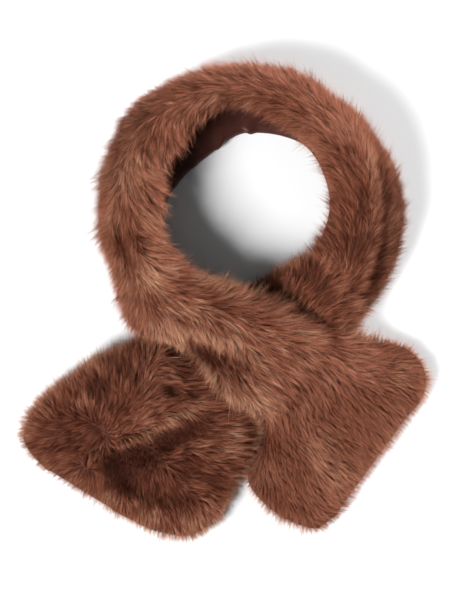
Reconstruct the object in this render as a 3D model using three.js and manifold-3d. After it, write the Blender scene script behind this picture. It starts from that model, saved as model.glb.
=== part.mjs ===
// A fur collar wrap laid on a flat surface: a strip of long-pile fur cloth, lined along the neck,
// wound once into a ring and crossed over itself in front, with two wide round-cornered ends.
// Millimetres, +Z up, +Y towards the back of the neck, the strip resting on z = 0.
import * as THREE from "three";
import { mergeVertices } from "three/addons/utils/BufferGeometryUtils.js";
import Module from "manifold-3d";

const wasm = await Module();
wasm.setup();

// Driving dimensions
const NECK_X = 18; // middle of the neck opening
const NECK_Y = 80;
const FUR_THICKNESS = 15; // backing cloth with its pile, on the top and the outside
const CRUSHED_FUR = 8; // the same under the weight of the strip
const LINING_THICKNESS = 1.5;
const SEAM_GAP = 0.3; // between pieces that meet
const LINING_GAP = 0.4; // between the lining and the back of the fur
const ANGLE_STEP = 5; // between sections of the neck ring, degrees
const SECTION_STEP = 6; // between sections of the ends, about
const EDGE_ROUND = 5; // how far a fur edge curls in where it meets the surface

// Sections of the neck ring, by angle from +X around the neck opening. foot is where the lower edge
// of the strip lies, lip its upper edge, crest its highest line, shoulder where the top turns down,
// outside its widest line, all as distances from the middle of the opening; height is the crest's,
// and bulge the widest line's.
const NECK_SECTIONS = [
  { angle: -40, foot: 70, lip: 65, crest: 94, shoulder: 116, outside: 134, height: 50, bulge: 7 },
  { angle: -20, foot: 70, lip: 67, crest: 90, shoulder: 114, outside: 134, height: 56, bulge: 7 },
  { angle: 0, foot: 72, lip: 67, crest: 89, shoulder: 111, outside: 133, height: 58, bulge: 7 },
  { angle: 20, foot: 72, lip: 67, crest: 88, shoulder: 108, outside: 126, height: 57, bulge: 9 },
  { angle: 45, foot: 73, lip: 68, crest: 88, shoulder: 107, outside: 120, height: 55, bulge: 15 },
  { angle: 65, foot: 68, lip: 67, crest: 90, shoulder: 107, outside: 119, height: 54, bulge: 19 },
  { angle: 80, foot: 65, lip: 74, crest: 92, shoulder: 106, outside: 117, height: 54, bulge: 21 },
  { angle: 95, foot: 63, lip: 79, crest: 93, shoulder: 106, outside: 117, height: 54, bulge: 21 },
  { angle: 110, foot: 58, lip: 79, crest: 94, shoulder: 108, outside: 119, height: 55, bulge: 21 },
  { angle: 127, foot: 55, lip: 77, crest: 95, shoulder: 111, outside: 123, height: 56, bulge: 21 },
  { angle: 142, foot: 57, lip: 70, crest: 93, shoulder: 113, outside: 125, height: 56, bulge: 21 },
  { angle: 157, foot: 61, lip: 74, crest: 94, shoulder: 113, outside: 125, height: 55, bulge: 20 },
  { angle: 172, foot: 67, lip: 68, crest: 90, shoulder: 112, outside: 125, height: 53, bulge: 18 },
  { angle: 190, foot: 72, lip: 72, crest: 91, shoulder: 112, outside: 126, height: 52, bulge: 16 },
  { angle: 208, foot: 73, lip: 74, crest: 93, shoulder: 114, outside: 128, height: 53, bulge: 15 },
  { angle: 230, foot: 70, lip: 70, crest: 94, shoulder: 122, outside: 143, height: 55, bulge: 12 },
];

// Sections across the end that passes underneath, from the neck ring to its round-cornered edge.
// neckX, neckY is the edge on the side of the neck, outX, outY the other one; h1 to h5 are the
// heights of the fur across it, at CROSS_SHARES.
const UNDER_SECTIONS = [
  { neckX: 68, neckY: 38, outX: 121, outY: -6, h1: 44, h2: 50, h3: 49, h4: 42, h5: 23 },
  { neckX: 47, neckY: 28, outX: 108, outY: -28, h1: 32, h2: 40, h3: 42, h4: 39, h5: 26 },
  { neckX: 24, neckY: 16, outX: 90, outY: -57, h1: 22, h2: 26, h3: 28, h4: 27, h5: 22 },
  { neckX: -3, neckY: 2, outX: 62, outY: -83, h1: 20, h2: 23, h3: 23, h4: 22, h5: 20 },
  { neckX: -29, neckY: -11, outX: 39, outY: -98, h1: 22, h2: 26, h3: 25, h4: 22, h5: 20 },
  { neckX: -53, neckY: -22, outX: 29, outY: -108, h1: 27, h2: 32, h3: 28, h4: 22, h5: 20 },
  { neckX: -74, neckY: -31, outX: 26, outY: -121, h1: 30, h2: 37, h3: 32, h4: 22, h5: 20 },
  { neckX: -93, neckY: -40, outX: 20, outY: -135, h1: 31, h2: 39, h3: 34, h4: 21, h5: 20 },
  { neckX: -112, neckY: -49, outX: 12, outY: -148, h1: 31, h2: 40, h3: 34, h4: 21, h5: 20 },
  { neckX: -130, neckY: -61, outX: 7, outY: -160, h1: 29, h2: 38, h3: 32, h4: 20, h5: 21 },
  { neckX: -146, neckY: -73, outX: 1, outY: -172, h1: 26, h2: 33, h3: 27, h4: 20, h5: 21 },
  { neckX: -159, neckY: -85, outX: -7, outY: -183, h1: 24, h2: 27, h3: 23, h4: 20, h5: 21 },
  { neckX: -167, neckY: -98, outX: -17, outY: -192, h1: 21, h2: 23, h3: 21, h4: 20, h5: 19 },
  { neckX: -170, neckY: -112, outX: -32, outY: -197, h1: 16, h2: 17, h3: 17, h4: 17, h5: 15 },
  { neckX: -164, neckY: -126, outX: -58, outY: -192, h1: 10, h2: 11, h3: 11, h4: 11, h5: 9 },
  { neckX: -149, neckY: -141, outX: -92, outY: -176, h1: 5, h2: 5, h3: 5, h4: 5, h5: 5 },
];

// Sections across the end that passes over, in the same columns.
const OVER_SECTIONS = [
  { neckX: -27, neckY: 26, outX: -74, outY: -30, h1: 47, h2: 55, h3: 54, h4: 45, h5: 26 },
  { neckX: -4, neckY: 16, outX: -60, outY: -36, h1: 46, h2: 57, h3: 57, h4: 50, h5: 36 },
  { neckX: 20, neckY: 10, outX: -36, outY: -42, h1: 46, h2: 58, h3: 60, h4: 54, h5: 46 },
  { neckX: 41, neckY: 3, outX: -19, outY: -61, h1: 45, h2: 58, h3: 60, h4: 55, h5: 46 },
  { neckX: 62, neckY: -6, outX: -6, outY: -81, h1: 43, h2: 56, h3: 58, h4: 53, h5: 43 },
  { neckX: 84, neckY: -16, outX: 12, outY: -90, h1: 40, h2: 51, h3: 54, h4: 49, h5: 38 },
  { neckX: 103, neckY: -25, outX: 27, outY: -100, h1: 33, h2: 43, h3: 46, h4: 42, h5: 29 },
  { neckX: 121, neckY: -30, outX: 26, outY: -118, h1: 27, h2: 35, h3: 38, h4: 34, h5: 21 },
  { neckX: 138, neckY: -32, outX: 18, outY: -136, h1: 23, h2: 29, h3: 31, h4: 27, h5: 18 },
  { neckX: 153, neckY: -37, outX: 18, outY: -153, h1: 21, h2: 25, h3: 26, h4: 24, h5: 18 },
  { neckX: 164, neckY: -46, outX: 30, outY: -169, h1: 20, h2: 23, h3: 24, h4: 22, h5: 18 },
  { neckX: 169, neckY: -57, outX: 46, outY: -181, h1: 19, h2: 21, h3: 22, h4: 21, h5: 17 },
  { neckX: 170, neckY: -68, outX: 64, outY: -189, h1: 16, h2: 18, h3: 19, h4: 18, h5: 15 },
  { neckX: 167, neckY: -79, outX: 79, outY: -190, h1: 10, h2: 11, h3: 12, h4: 11, h5: 9 },
  { neckX: 159, neckY: -90, outX: 93, outY: -179, h1: 5, h2: 5, h3: 5, h4: 5, h5: 5 },
];
const CROSS_SHARES = [0.1, 0.3, 0.52, 0.74, 0.92];

// The largest folds, as curves seen from above, from one end through a bend to the other. The fur
// falls by drop over reach, and the side that faces lapFrom degrees leans out over the other by lap.
const LAPPED_FOLDS = [
  {
    fromX: -102, fromY: -126, bendX: -62, bendY: -112, toX: -17, toY: -82,
    drop: 13, reach: 20, lap: 2.5, lapFrom: 116,
  },
  {
    fromX: -50, fromY: -27, bendX: -8, bendY: -27, toX: 28, toY: -53,
    drop: 12, reach: 17, lap: 3.5, lapFrom: 70,
  },
];

// Plain creases, as curves in the same way, where the fur dips by drop within reach on each side.
const CREASES = [
  { fromX: 128, fromY: 104, bendX: 137, bendY: 55, toX: 118, toY: 4, drop: 6, reach: 7 },
  { fromX: 138, fromY: 84, bendX: 144, bendY: 60, toX: 134, toY: 32, drop: 4, reach: 6 },
  { fromX: 116, fromY: 80, bendX: 116, bendY: 62, toX: 111, toY: 46, drop: 4, reach: 7 },
  { fromX: -88, fromY: 84, bendX: -90, bendY: 56, toX: -74, toY: 22, drop: 5, reach: 8 },
  { fromX: -76, fromY: 88, bendX: -62, bendY: 84, toX: -50, toY: 79, drop: 5, reach: 8 },
  { fromX: 52, fromY: -84, bendX: 61, bendY: -80, toX: 70, toY: -73, drop: 4, reach: 8 },
  { fromX: 104, fromY: -97, bendX: 86, bendY: -112, toX: 80, toY: -146, drop: 4, reach: 14 },
  { fromX: -96, fromY: -134, bendX: -74, bendY: -164, toX: -34, toY: -166, drop: 6, reach: 15 },
  { fromX: -116, fromY: -72, bendX: -100, bendY: -82, toX: -82, toY: -88, drop: 4, reach: 10 },
  { fromX: -50, fromY: -68, bendX: -46, bendY: -76, toX: -38, toY: -82, drop: 5, reach: 7 },
];

const RADIANS = Math.PI / 180;
const mix = (a, b, share) => a + (b - a) * share;

// A row between the rows of a table, at a place counted in rows, by a smooth curve through each
// column.
function rowAt(rows, place) {
  const last = rows.length - 1;
  const k = Math.min(Math.floor(place), last - 1);
  const f = place - k;
  const around = [k - 1, k, k + 1, k + 2].map((i) => rows[Math.max(0, Math.min(last, i))]);
  const row = {};
  for (const column of Object.keys(rows[0])) {
    const [a, b, c, d] = around.map((r) => r[column]);
    const bend = 2 * a - 5 * b + 4 * c - d;
    row[column] = b + 0.5 * f * (c - a + f * (bend + f * (3 * (b - c) + d - a)));
  }
  return row;
}

// The place, in rows, where a table's first column reaches a value.
function placeOf(rows, column, value) {
  const k = rows.findIndex((row, i) => i > 0 && row[column] >= value);
  return k - 1 + (value - rows[k - 1][column]) / (rows[k][column] - rows[k - 1][column]);
}

// Points of a smooth line through knots in the plane of a section, each knot [across, height].
function smoothLine(knots, count) {
  const curve = new THREE.CatmullRomCurve3(
    knots.map(([d, z]) => new THREE.Vector3(d, z, 0)),
    false,
    "centripetal",
  );
  return Array.from({ length: count }, (_, i) => {
    const p = curve.getPoint(i / (count - 1));
    return [p.x, Math.max(0, p.y)];
  });
}

// How a fold's share of depth fades from its middle, 1, to its ends, 0.
const fade = (x) => (Math.abs(x) < 1 ? (1 - x * x) ** 2 : 0);

const FOLD_STEPS = 12;
const FOLD_LINES = [...LAPPED_FOLDS, ...CREASES].map((fold) => {
  const curve = new THREE.QuadraticBezierCurve(
    new THREE.Vector2(fold.fromX, fold.fromY),
    new THREE.Vector2(fold.bendX, fold.bendY),
    new THREE.Vector2(fold.toX, fold.toY),
  );
  return { ...fold, points: curve.getPoints(FOLD_STEPS) };
});

// The nearest place on a fold's line: how far away, how far along as a share, and the point.
function nearestOn(line, point) {
  let near = { away: Infinity };
  for (let i = 0; i < FOLD_STEPS; i++) {
    const step = line.points[i + 1].clone().sub(line.points[i]);
    const share = point.clone().sub(line.points[i]).dot(step) / step.lengthSq();
    const q = line.points[i].clone().addScaledVector(step, Math.max(0, Math.min(1, share)));
    const away = q.distanceTo(point);
    if (away < near.away) near = { away, along: (i + Math.max(0, Math.min(1, share))) / FOLD_STEPS, q };
  }
  return near;
}

// Across a fold that laps, by distance over reach and positive on the upper side: how much of the
// drop there is, and how far the fur slides, as the upper side leans out over the lower one.
const lapDrop = (t) => (t > -0.25 ? 1 - THREE.MathUtils.smoothstep(t, -0.25, 0.5) : fade((t + 0.25) / 1.6));
const lapSlide = (t) => 0.4 * fade((t + 0.5) / 0.5) - fade((t - 0.3) / 0.7);

// A point of the fur's face, moved by the folds near it.
function folded([x, y, z], share) {
  if (share === 0) return [x, y, z];
  const p = new THREE.Vector3(x, y, z);
  const flat = new THREE.Vector2(x, y);
  for (const fold of FOLD_LINES) {
    const near = nearestOn(fold, flat);
    if (near.away > 2 * fold.reach) continue;
    const strength = fade(2 * near.along - 1) ** 0.5 * share;
    if (!fold.lap) {
      p.z -= Math.min(fold.drop * strength * fade(near.away / fold.reach), 0.6 * p.z);
      continue;
    }
    const angle = fold.lapFrom * RADIANS;
    const from = new THREE.Vector2(Math.cos(angle), Math.sin(angle));
    const t = (flat.clone().sub(near.q).dot(from) < 0 ? -near.away : near.away) / fold.reach;
    const down = fold.drop * strength * lapDrop(t);
    const slide = fold.lap * strength * lapSlide(t);
    p.add(new THREE.Vector3(from.x * slide, from.y * slide, -Math.min(down, 0.6 * p.z)));
  }
  return p.toArray();
}

// The closed solid through a row of sections, each a ring of the same number of points, with flat
// ends.
function loft(rings, flats) {
  const count = rings[0].length;
  const index = [];
  for (let i = 0; i + 1 < rings.length; i++)
    for (let j = 0; j < count; j++) {
      const a = i * count + j;
      const b = i * count + ((j + 1) % count);
      index.push(a, b, a + count, b, b + count, a + count);
    }
  const ends = [
    [0, flats[0], true],
    [(rings.length - 1) * count, flats[1], false],
  ];
  for (const [start, flat, turned] of ends) {
    const outline = flat.map(([d, z]) => new THREE.Vector2(d, z));
    const clockwise = THREE.ShapeUtils.isClockWise(outline);
    for (const [a, b, c] of THREE.ShapeUtils.triangulateShape(outline, []))
      index.push(start + a, start + (turned === clockwise ? b : c), start + (turned === clockwise ? c : b));
  }
  const geometry = new THREE.BufferGeometry();
  geometry.setAttribute("position", new THREE.Float32BufferAttribute(rings.flat(2), 3));
  geometry.setIndex(index);
  return facingOut(geometry);
}

// The same geometry with its faces turned outwards.
function facingOut(geometry) {
  const at = geometry.getAttribute("position");
  const index = geometry.getIndex().array;
  const [a, b, c] = [new THREE.Vector3(), new THREE.Vector3(), new THREE.Vector3()];
  let volume = 0;
  for (let i = 0; i < index.length; i += 3) {
    a.fromBufferAttribute(at, index[i]);
    b.fromBufferAttribute(at, index[i + 1]);
    c.fromBufferAttribute(at, index[i + 2]);
    volume += a.dot(b.cross(c));
  }
  if (volume < 0) geometry.setIndex(Array.from(index).reverse());
  return geometry;
}

// Where a distance from the neck's middle, at an angle, lies seen from above.
function fromNeck(angle, [distance, z]) {
  return [NECK_X + distance * Math.cos(angle * RADIANS), NECK_Y + distance * Math.sin(angle * RADIANS), z];
}

// The fur's face round a neck section: from the foot along the surface, up the outside and over to
// the lip.
function faceKnots(s) {
  return [
    [s.foot + 1.5, 1],
    [s.foot + 4, 0],
    [mix(s.foot, s.outside, 0.5), 0],
    [s.outside - 15, 0],
    [s.outside - 3, 0.45 * s.bulge],
    [s.outside, s.bulge],
    [mix(s.outside, s.shoulder, 0.5), mix(s.bulge, s.height - 8, 0.6)],
    [s.shoulder, s.height - 8],
    [mix(s.shoulder, s.crest, 0.5), s.height - 2],
    [s.crest, s.height],
    [mix(s.crest, s.lip, 0.55), s.height - 3],
    [s.lip + 3, s.height - 8],
    [s.lip, s.height - 14],
    [s.lip + 3, s.height - 20],
  ];
}

// The back of the fur cloth in a neck section, from the lip down the inside and along to the foot.
function backKnots(s) {
  const t = FUR_THICKNESS;
  return [
    [s.lip + 10, s.height - 5 - t],
    [s.crest, s.height - t],
    [s.shoulder - 5, s.height - 8 - t],
    [s.outside - 3 - t, mix(s.bulge, s.height - 20, 0.5)],
    [s.outside - 5 - t, CRUSHED_FUR + 8],
    [s.outside - 14 - t, CRUSHED_FUR + 2],
    [s.foot + 8, CRUSHED_FUR],
    [s.foot + 2, CRUSHED_FUR - 1],
    [s.foot, 4],
  ];
}

// A line moved sideways by a distance, to the side that lies on the left of its way.
function movedAside(line, distance) {
  return line.map(([d, z], i) => {
    const [before, after] = [line[Math.max(0, i - 1)], line[Math.min(line.length - 1, i + 1)]];
    const length = Math.hypot(after[0] - before[0], after[1] - before[1]);
    const [right, up] = [(after[0] - before[0]) / length, (after[1] - before[1]) / length];
    return [d - up * distance, z + right * distance];
  });
}

const FACE_POINTS = 20;
const BACK_POINTS = 14;

// A stretch of the neck ring's fur between two angles: a curled wall that is open towards the neck.
function neckFur(fromAngle, toAngle) {
  const rings = [];
  const flats = [];
  const count = Math.round((toAngle - fromAngle) / ANGLE_STEP);
  for (let i = 0; i <= count; i++) {
    const place = placeOf(NECK_SECTIONS, "angle", mix(fromAngle, toAngle, i / count));
    const s = rowAt(NECK_SECTIONS, place);
    const face = smoothLine(faceKnots(s), FACE_POINTS);
    const back = smoothLine(backKnots(s), BACK_POINTS);
    flats.push([...face, ...back]);
    rings.push([
      ...face.map((p) => folded(fromNeck(s.angle, p), p[1] > 0.5 * s.height ? 1 : 0)),
      ...back.map((p) => fromNeck(s.angle, p)),
    ]);
  }
  return loft(rings, [flats[0], flats.at(-1)]);
}

// A stretch of the lining inside that wall, rolled over the foot at its lower edge.
function neckLining(fromAngle, toAngle) {
  const rings = [];
  const flats = [];
  const count = Math.round((toAngle - fromAngle) / ANGLE_STEP);
  for (let i = 0; i <= count; i++) {
    const place = placeOf(NECK_SECTIONS, "angle", mix(fromAngle, toAngle, i / count));
    const s = rowAt(NECK_SECTIONS, place);
    const back = smoothLine(backKnots(s), BACK_POINTS);
    const flat = [
      ...movedAside(back, -LINING_GAP),
      ...movedAside(back, -LINING_GAP - LINING_THICKNESS).reverse(),
    ];
    flats.push(flat);
    rings.push(flat.map((p) => fromNeck(s.angle, p)));
  }
  return loft(rings, [flats[0], flats.at(-1)]);
}

const END_POINTS = 32;

// The outline of a section across an end: up from the surface at the neck side, over the fur and
// down the other side.
function endKnots(s, width) {
  const heights = [s.h1, s.h2, s.h3, s.h4, s.h5];
  const top = CROSS_SHARES.map((share, i) => [share * width, heights[i]]);
  return [
    [Math.min(EDGE_ROUND, 0.5 * s.h1), 0],
    [0.6, 0.3 * s.h1],
    [0, 0.55 * s.h1],
    [0.035 * width, 0.86 * s.h1],
    ...top,
    [width - 0.025 * width, 0.8 * s.h5],
    [width, 0.5 * s.h5],
    [width - 0.6, 0.25 * s.h5],
    [width - Math.min(EDGE_ROUND, 0.5 * s.h5), 0],
  ];
}

// An end of the strip between two places in its table.
function endFur(rows, fromPlace, toPlace) {
  const rings = [];
  const flats = [];
  const length = new THREE.CatmullRomCurve3(
    rows.map((r) => new THREE.Vector3((r.neckX + r.outX) / 2, (r.neckY + r.outY) / 2, 0)),
  ).getLength();
  const count = Math.round(((toPlace - fromPlace) / (rows.length - 1)) * (length / SECTION_STEP));
  for (let i = 0; i <= count; i++) {
    const s = rowAt(rows, mix(fromPlace, toPlace, i / count));
    const width = Math.hypot(s.outX - s.neckX, s.outY - s.neckY);
    const across = new THREE.Vector2((s.outX - s.neckX) / width, (s.outY - s.neckY) / width);
    const flat = smoothLine(endKnots(s, width), END_POINTS);
    flats.push(flat);
    rings.push(
      flat.map(([d, z]) => {
        const place = [s.neckX + across.x * d, s.neckY + across.y * d, z];
        return folded(place, z > 0.3 * s.h3 ? 1 : 0);
      }),
    );
  }
  return loft(rings, [flats[0], flats.at(-1)]);
}

// The same geometry grown on all sides, and further downwards where it rests.
function grown(geometry, clearance) {
  const wider = mergeVertices(geometry.clone(), 1e-3);
  wider.computeVertexNormals();
  const at = wider.getAttribute("position");
  const normal = wider.getAttribute("normal");
  for (let i = 0; i < at.count; i++) {
    const z = at.getZ(i);
    at.setXYZ(
      i,
      at.getX(i) + clearance * normal.getX(i),
      at.getY(i) + clearance * normal.getY(i),
      z > 0.1 ? z + clearance * normal.getZ(i) : -5,
    );
  }
  return wider;
}

// Turns a geometry into a solid that can be cut, and back.
function solidOf(geometry) {
  const bare = geometry.clone();
  for (const name of Object.keys(bare.attributes)) if (name !== "position") bare.deleteAttribute(name);
  const merged = mergeVertices(bare, 1e-3);
  return new wasm.Manifold(
    new wasm.Mesh({
      numProp: 3,
      vertProperties: merged.getAttribute("position").array,
      triVerts: new Uint32Array(merged.getIndex().array),
    }),
  );
}

function geometryOf(solid) {
  const mesh = solid.getMesh();
  const geometry = new THREE.BufferGeometry();
  geometry.setAttribute("position", new THREE.BufferAttribute(mesh.vertProperties, 3));
  geometry.setIndex(new THREE.BufferAttribute(mesh.triVerts, 1));
  return geometry;
}

const furMaterial = new THREE.MeshStandardMaterial({ color: 0x7d4a38, roughness: 0.85, metalness: 0 });
const liningMaterial = new THREE.MeshStandardMaterial({ color: 0x35201c, roughness: 0.55, metalness: 0 });

const wrap = new THREE.Group();

function add(name, geometry, material) {
  const mesh = new THREE.Mesh(geometry, material);
  mesh.name = name;
  wrap.add(mesh);
}

// The neck ring in three stretches, each with its lining; a seam's gap is an angle at the ring's
// middle radius.
const SEAM_ANGLE = SEAM_GAP / 90 / RADIANS;
const NECK_STRETCHES = [
  { side: "right", from: -40, to: 52 },
  { side: "back", from: 52, to: 150 },
  { side: "left", from: 150, to: 230 },
];
for (const { side, from, to } of NECK_STRETCHES) {
  add(`fur_neck_${side}`, neckFur(from + SEAM_ANGLE, to), furMaterial);
  add(`lining_neck_${side}`, neckLining(from + SEAM_ANGLE, to), liningMaterial);
}

// The two ends; the one on top is cut to the shape of the one it lies on.
const SEAM_PLACE = 0.02;
const CROSSING_GAP = 0.7; // between the two ends where one lies on the other
const underEnd = endFur(UNDER_SECTIONS, SEAM_PLACE, UNDER_SECTIONS.length - 1);
const overEnd = endFur(OVER_SECTIONS, SEAM_PLACE, OVER_SECTIONS.length - 1);
const room = solidOf(grown(underEnd, CROSSING_GAP)).add(solidOf(grown(underEnd, SEAM_GAP)));
const overCut = solidOf(overEnd).subtract(room);
add("fur_under_end", underEnd, furMaterial);
add("fur_over_end", geometryOf(overCut), furMaterial);

// The whole is laid with the middle of its outline at the origin.
const outline = new THREE.Box3().setFromObject(wrap);
const middle = outline.getCenter(new THREE.Vector3());
for (const mesh of wrap.children) mesh.geometry.translate(-middle.x, -middle.y, -outline.min.z);

export default wrap;
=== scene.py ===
"""Dresses the fur collar wrap with fur cloth, its pile in locks of hair, and the satin lining."""

import logging
import math
from dataclasses import dataclass, field
from enum import Enum
from typing import Any, Mapping, NamedTuple, Sequence

import bpy
import numpy as np
from mathutils import Matrix, Vector
from mathutils.bvhtree import BVHTree

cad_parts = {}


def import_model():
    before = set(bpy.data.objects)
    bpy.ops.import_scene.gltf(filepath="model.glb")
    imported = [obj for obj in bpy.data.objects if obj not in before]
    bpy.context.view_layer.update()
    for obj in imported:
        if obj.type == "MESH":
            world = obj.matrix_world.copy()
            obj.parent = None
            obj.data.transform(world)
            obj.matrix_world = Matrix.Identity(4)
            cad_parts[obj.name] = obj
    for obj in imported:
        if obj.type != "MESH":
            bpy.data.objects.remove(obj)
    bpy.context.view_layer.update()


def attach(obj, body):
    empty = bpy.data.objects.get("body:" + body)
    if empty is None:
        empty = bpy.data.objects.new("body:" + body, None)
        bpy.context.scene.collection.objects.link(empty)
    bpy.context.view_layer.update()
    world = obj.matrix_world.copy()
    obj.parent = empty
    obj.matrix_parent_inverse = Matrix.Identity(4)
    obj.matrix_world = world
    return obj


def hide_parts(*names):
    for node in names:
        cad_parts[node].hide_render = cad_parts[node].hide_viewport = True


LOG = logging.getLogger("wrap")
MM = 0.001
NECK = np.array([18.0, 80.0])  # middle of the neck opening, mm
CENTRE = np.array([-0.11, 0.04, 0.0])  # from the tables' origin to the frame's, mm
FUR_THICKNESS = 15.0  # cloth and pile together, mm
CRUSHED_FUR = 8.0  # the same where the wrap lies on it, mm
LINING_GAP = 0.4  # between cloth and lining, mm
LINING_THICKNESS = 1.5  # mm
LINING_RADIUS = 66.0  # of the ring's inside, mm
LINING_RUN_IN = 16.0  # how far the lining goes on into an end, degrees
RING_RADIUS = 95.0  # of the middle of the ring's pile, mm
EDGE_ROUND = 5.0  # how far an end's underside stays inside its edge, mm
CROSS_SHARES = (0.1, 0.3, 0.52, 0.74, 0.92)  # where an end's five heights are, across it
GRID = 3.5  # spacing of the cloth's points, mm
LOCK_LENGTH = 16.0  # of a long hair in a lock that isn't scaled, mm
RESTING_PILE = 8.0  # length of the pile that the wrap lies on, mm
SHARP_FROM = 50.0  # the angle from which an edge of cloth isn't shaded smooth, degrees
Colour = tuple[float, float, float]


class NeckRow(NamedTuple):
    """A section of the neck ring, by its angle in degrees; distances from the middle of the opening, mm."""

    angle: float
    foot: float
    lip: float
    crest: float
    shoulder: float
    outside: float
    height: float
    bulge: float


class EndRow(NamedTuple):
    """A section across an end: its two edges seen from above and five heights across it, mm."""

    neck_x: float
    neck_y: float
    out_x: float
    out_y: float
    h1: float
    h2: float
    h3: float
    h4: float
    h5: float


class FoldRow(NamedTuple):
    """A fold or crease seen from above, from one end through a bend to the other, mm and degrees."""

    from_x: float
    from_y: float
    bend_x: float
    bend_y: float
    to_x: float
    to_y: float
    drop: float
    reach: float
    lap: float = 0.0
    lap_from: float = 0.0


NECK_ROWS = (
    NeckRow(-40, 70, 65, 94, 116, 134, 50, 7),
    NeckRow(-20, 70, 67, 90, 114, 134, 56, 7),
    NeckRow(0, 72, 67, 89, 111, 133, 58, 7),
    NeckRow(20, 72, 67, 88, 108, 126, 57, 9),
    NeckRow(45, 73, 68, 88, 107, 120, 55, 15),
    NeckRow(65, 68, 67, 90, 107, 119, 54, 19),
    NeckRow(80, 65, 74, 92, 106, 117, 54, 21),
    NeckRow(95, 63, 79, 93, 106, 117, 54, 21),
    NeckRow(110, 58, 79, 94, 108, 119, 55, 21),
    NeckRow(127, 55, 77, 95, 111, 123, 56, 21),
    NeckRow(142, 57, 70, 93, 113, 125, 56, 21),
    NeckRow(157, 61, 74, 94, 113, 125, 55, 20),
    NeckRow(172, 67, 68, 90, 112, 125, 53, 18),
    NeckRow(190, 72, 72, 91, 112, 126, 52, 16),
    NeckRow(208, 73, 74, 93, 114, 128, 53, 15),
    NeckRow(230, 70, 70, 94, 122, 143, 55, 12),
)
RING_START, RING_STOP = NECK_ROWS[0].angle, NECK_ROWS[-1].angle

UNDER_ROWS = (
    EndRow(68, 38, 121, -6, 44, 50, 49, 42, 23),
    EndRow(47, 28, 108, -28, 32, 40, 42, 39, 26),
    EndRow(24, 16, 90, -57, 22, 26, 28, 27, 22),
    EndRow(-3, 2, 62, -83, 20, 23, 23, 22, 20),
    EndRow(-29, -11, 39, -98, 22, 26, 25, 22, 20),
    EndRow(-53, -22, 29, -108, 27, 32, 28, 22, 20),
    EndRow(-74, -31, 26, -121, 30, 37, 32, 22, 20),
    EndRow(-93, -40, 20, -135, 31, 39, 34, 21, 20),
    EndRow(-112, -49, 12, -148, 31, 40, 34, 21, 20),
    EndRow(-130, -61, 7, -160, 29, 38, 32, 20, 21),
    EndRow(-146, -73, 1, -172, 26, 33, 27, 20, 21),
    EndRow(-159, -85, -7, -183, 24, 27, 23, 20, 21),
    EndRow(-167, -98, -17, -192, 21, 23, 21, 20, 19),
    EndRow(-170, -112, -32, -197, 16, 17, 17, 17, 15),
    EndRow(-164, -126, -58, -192, 10, 11, 11, 11, 9),
    EndRow(-149, -141, -92, -176, 5, 5, 5, 5, 5),
)

OVER_ROWS = (
    EndRow(-27, 26, -74, -30, 47, 55, 54, 45, 26),
    EndRow(-4, 16, -60, -36, 46, 57, 57, 50, 36),
    EndRow(20, 10, -36, -42, 46, 58, 60, 54, 46),
    EndRow(41, 3, -19, -61, 45, 58, 60, 55, 46),
    EndRow(62, -6, -6, -81, 43, 56, 58, 53, 43),
    EndRow(84, -16, 12, -90, 40, 51, 54, 49, 38),
    EndRow(103, -25, 27, -100, 33, 43, 46, 42, 29),
    EndRow(121, -30, 26, -118, 27, 35, 38, 34, 21),
    EndRow(138, -32, 18, -136, 23, 29, 31, 27, 18),
    EndRow(153, -37, 18, -153, 21, 25, 26, 24, 18),
    EndRow(164, -46, 30, -169, 20, 23, 24, 22, 18),
    EndRow(169, -57, 46, -181, 19, 21, 22, 21, 17),
    EndRow(170, -68, 64, -189, 16, 18, 19, 18, 15),
    EndRow(167, -79, 79, -190, 10, 11, 12, 11, 9),
    EndRow(159, -90, 93, -179, 5, 5, 5, 5, 5),
)

FOLD_ROWS = (
    FoldRow(-102, -126, -62, -112, -17, -82, 14, 18, 8, 116),
    FoldRow(-50, -27, -8, -27, 28, -53, 14, 16, 6, 70),
    FoldRow(128, 104, 137, 55, 118, 4, 7, 6),
    FoldRow(138, 84, 144, 60, 134, 32, 4, 5),
    FoldRow(116, 80, 116, 62, 111, 46, 4, 7),
    FoldRow(-88, 84, -90, 56, -74, 22, 6, 8),
    FoldRow(-76, 88, -62, 84, -50, 79, 5, 8),
    FoldRow(52, -84, 61, -80, 70, -73, 4, 8),
    FoldRow(104, -97, 86, -112, 80, -146, 4, 14),
    FoldRow(-96, -134, -74, -164, -34, -166, 7, 15),
    FoldRow(-116, -72, -100, -82, -82, -88, 4, 10),
    FoldRow(-50, -68, -46, -76, -38, -82, 5, 7),
)


class NeckComb(NamedTuple):
    """How the pile lies across a section of the neck ring: leans in degrees towards the neck, and painted
    shades.
    """

    angle: float
    crest: float
    lip: float
    outside: float
    shade: float
    outside_painted_shade: float
    contrast: float = 1.0


# The two shade columns are painted shade: on the stretch near the band, from -40 to -12 degrees, which lies
# in shadow, and on the outside from 45 to 135 degrees, where the lights fall strongest.
NECK_COMBS = (
    NeckComb(-40, 66, 84, -30, -0.26, -0.04, 2.4),
    NeckComb(-12, 50, 74, -20, -0.14, 0.02, 2.3),
    NeckComb(8, 30, 72, -16, -0.03, 0.03, 1.4),
    NeckComb(45, 16, 66, -22, -0.01, -0.09),
    NeckComb(90, 10, 56, -30, -0.01, -0.15),
    NeckComb(135, 26, 62, -34, 0.0, -0.07, 1.1),
    NeckComb(170, 44, 58, -46, 0.03, 0.0, 1.9),
    NeckComb(230, 46, 50, -54, 0.03, 0.0, 1.8),
)


class Stroke(NamedTuple):
    """A place where the pile is combed its own way, painted darker or lighter, or trimmed; mm, degrees and
    shares.
    """

    x: float
    y: float
    reach: float
    way: float
    pull: float
    # painted shade in hollows and recesses where strongly negative, painted light on lit tops and rims where
    # strongly positive; small values are uneven tone
    shade: float
    trim: float = 0.0


# The strongly negative strokes paint shade into the hollow under the fold; those of 0.14 and more paint
# light on the lobe's top and along its rims.
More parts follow.
